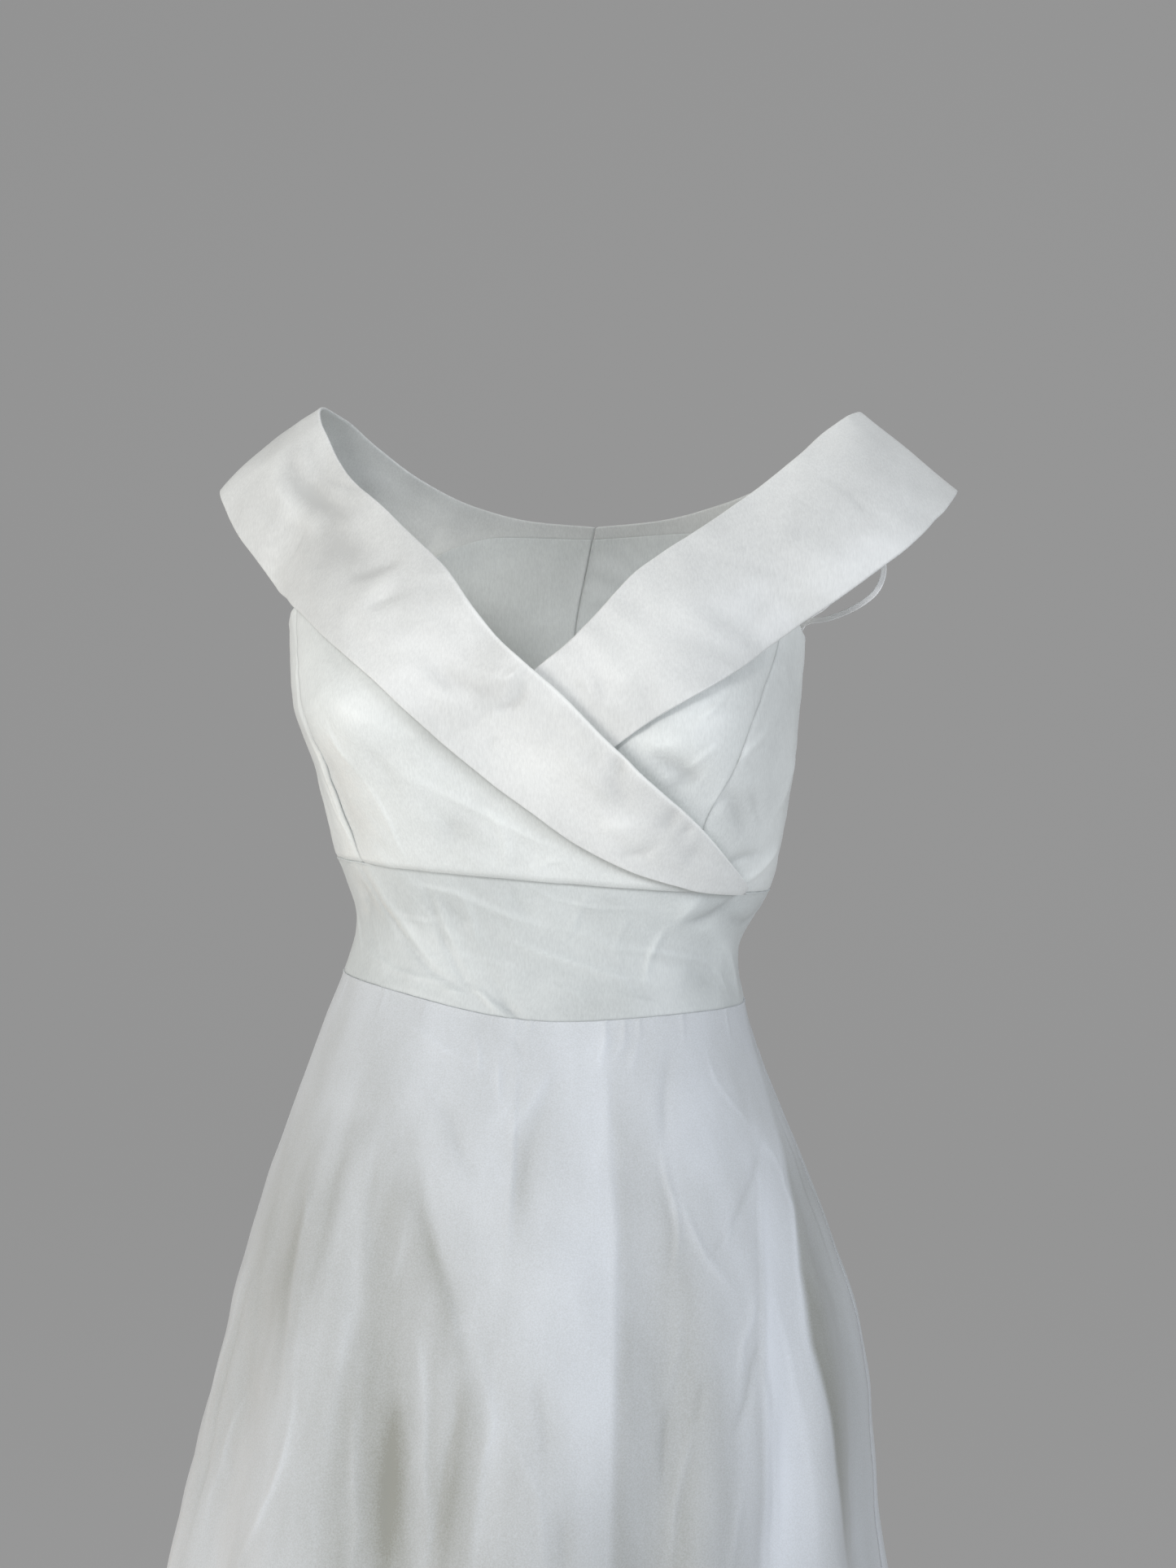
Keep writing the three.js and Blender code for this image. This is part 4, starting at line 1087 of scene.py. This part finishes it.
def chiffon_on_lining():
    """Matt crepe-twisted chiffon, half see-through, over a smooth lining. Its grain, about 0.3 mm,
    is drawn at 0.8 mm, and soft upright streaks of painted shade are the lining's folds showing
    through."""
    material = new_material("off-white chiffon on lining")
    place_on = add_node(material, "ShaderNodeTexCoord")
    grain = add_node(material, "ShaderNodeTexNoise", {
        "Vector": place_on.outputs["Object"], "Scale": 1200.0, "Detail": 2.0})
    upright = add_node(material, "ShaderNodeMapping", {
        "Vector": place_on.outputs["Object"], "Scale": (26, 26, 2.5)})
    streaks = add_node(material, "ShaderNodeTexNoise", {
        "Vector": upright.outputs[0], "Scale": 1.0, "Detail": 3.0, "Roughness": 0.55})
    paleness = add_node(material, "ShaderNodeMapRange", {
        "Value": mottle_and_painted_shade(material, streaks, grain, 0.16), "From Min": -0.6,
        "From Max": 1.1})
    # Between the warm grey of painted shade at the dark end and the cool white of painted light at
    # the pale end
    blend = add_node(material, "ShaderNodeMix", {
        0: paleness.outputs[0], 6: linear("#96978f"), 7: linear("#e9eef3")}, data_type="RGBA")
    bump = add_node(material, "ShaderNodeBump", {
        "Strength": 0.2, "Distance": 0.0002, "Height": grain.outputs[0]})
    shader = add_node(material, "ShaderNodeBsdfPrincipled", {
        "Base Color": blend.outputs[2], "Roughness": 0.62, "Specular IOR Level": 0.3,
        "Sheen Weight": 0.25, "Sheen Roughness": 0.5, "Normal": bump.outputs[0]})
    add_node(material, "ShaderNodeOutputMaterial", {"Surface": shader.outputs[0]})
    return material


chiffon = chiffon_on_lining()
for name, start, stop, columns, flat, area in (
    ("front", -SIDE_SEAM, SIDE_SEAM, 330, (1.2, 1.05), 0.83),
    ("back_right", -CENTRE_BACK, -SIDE_SEAM, 110, (0.65, 1.05), 0.437),
    ("back_left", SIDE_SEAM, CENTRE_BACK, 110, (0.65, 1.05), 0.437),
):
    piece = cloth_piece("skirt_panel_" + name, columns, 147,
                        skirt_surface(start, stop, SKIRT_CREASES if name == "front"
                                      else SKIRT_BACK_CREASES),
                        PANEL_CLOTH, chiffon)
    declare("skirt_" + name)

# Studio
# A plain floor that curves up into a plain grey backdrop. A small key stands above and behind the
# camera, two large soft boxes to the camera's left and right, and a weak one below it. A weak warm
# one stands low behind the wearer's right side, and a wide one above lights the floor at the back.
FLOOR = cad_box[0].z - 0.01
FLOOR_FRONT = -6
BACKDROP_WAY_BACK = 4.4
BACKDROP_HALF_WIDTH = 16
BACKDROP_TOP = 6
BEND = 1.0


def studio_paint():
    """Matt emulsion on board, lit so evenly that the light is part of the paint here."""
    material = new_material("matt grey paint")
    shader = add_node(material, "ShaderNodeBsdfPrincipled", {
        "Base Color": linear("#505050"), "Roughness": 0.95, "Specular IOR Level": 0.1,
        "Emission Color": linear("#969696"), "Emission Strength": 0.89})
    add_node(material, "ShaderNodeOutputMaterial", {"Surface": shader.outputs[0]})
    return material


def backdrop_line(share):
    """The section of floor, bend and wall, as y and z at shares from the front to the top."""
    bend = [(BACKDROP_WAY_BACK - BEND + BEND * math.sin(a), FLOOR + BEND - BEND * math.cos(a))
            for a in np.radians(np.arange(0, 91, 6))]
    line = np.array([(FLOOR_FRONT, FLOOR), *bend, (BACKDROP_WAY_BACK, BACKDROP_TOP)])
    reach = np.linspace(0, 1, len(line))
    return np.interp(share, reach, line[:, 0]), np.interp(share, reach, line[:, 1])


backdrop_grid = bmesh.new()
bmesh.ops.create_grid(backdrop_grid, x_segments=2, y_segments=17, size=0.5)
for vert in backdrop_grid.verts:
    y, z = backdrop_line(vert.co.y + 0.5)
    vert.co = (2 * BACKDROP_HALF_WIDTH * vert.co.x, y, z)
backdrop_mesh = bpy.data.meshes.new("backdrop")
backdrop_grid.to_mesh(backdrop_mesh)
backdrop_grid.free()
backdrop_mesh.shade_smooth()
backdrop_mesh.materials.append(studio_paint())
backdrop = bpy.data.objects.new("backdrop", backdrop_mesh)
bpy.context.scene.collection.objects.link(backdrop)


def soft_lamp(name, position, aim, size, power, colour):
    """A square softbox that looks at a point."""
    data = bpy.data.lights.new(name, "AREA")
    data.size = size
    data.energy = power
    data.color = linear(colour)[:3]
    lamp = bpy.data.objects.new(name, data)
    lamp.location = position
    away = np.array(position) - np.array(aim)
    level = math.hypot(away[0], away[1])
    turned = math.atan2(away[1], away[0]) + math.pi / 2
    lamp.rotation_euler = (math.atan2(level, away[2]), 0, turned)
    bpy.context.scene.collection.objects.link(lamp)


soft_lamp("key", (-0.5, -1.8, 1.0), (0, 0, 0.1), 0.5, 13, "#fdfdff")
soft_lamp("left", (-1.6, -1.4, 0.1), (0, 0, 0.1), 1.0, 22, "#fffcf9")
soft_lamp("right", (2.0, -1.2, 0.4), (0, 0, 0.1), 1.0, 26, "#f3f7ff")
soft_lamp("low", (0, -1.6, -0.8), (0, 0, 0.1), 0.8, 4, "#f8f9ff")
soft_lamp("edge", (-1.6, 0.5, -0.7), (-0.25, 0, -0.5), 0.4, 1.6, "#ffd9b0")
soft_lamp("backdrop", (0, 0.9, 2.6), (0, 2.2, 0), 2.4, 30, "#ffffff")
world = bpy.data.worlds.new("studio")
world.use_nodes = True
world.node_tree.nodes["Background"].inputs["Color"].default_value = linear("#e8eaee")
world.node_tree.nodes["Background"].inputs["Strength"].default_value = 0.06
bpy.context.scene.world = world
bpy.context.scene.view_settings.view_transform = "Standard"
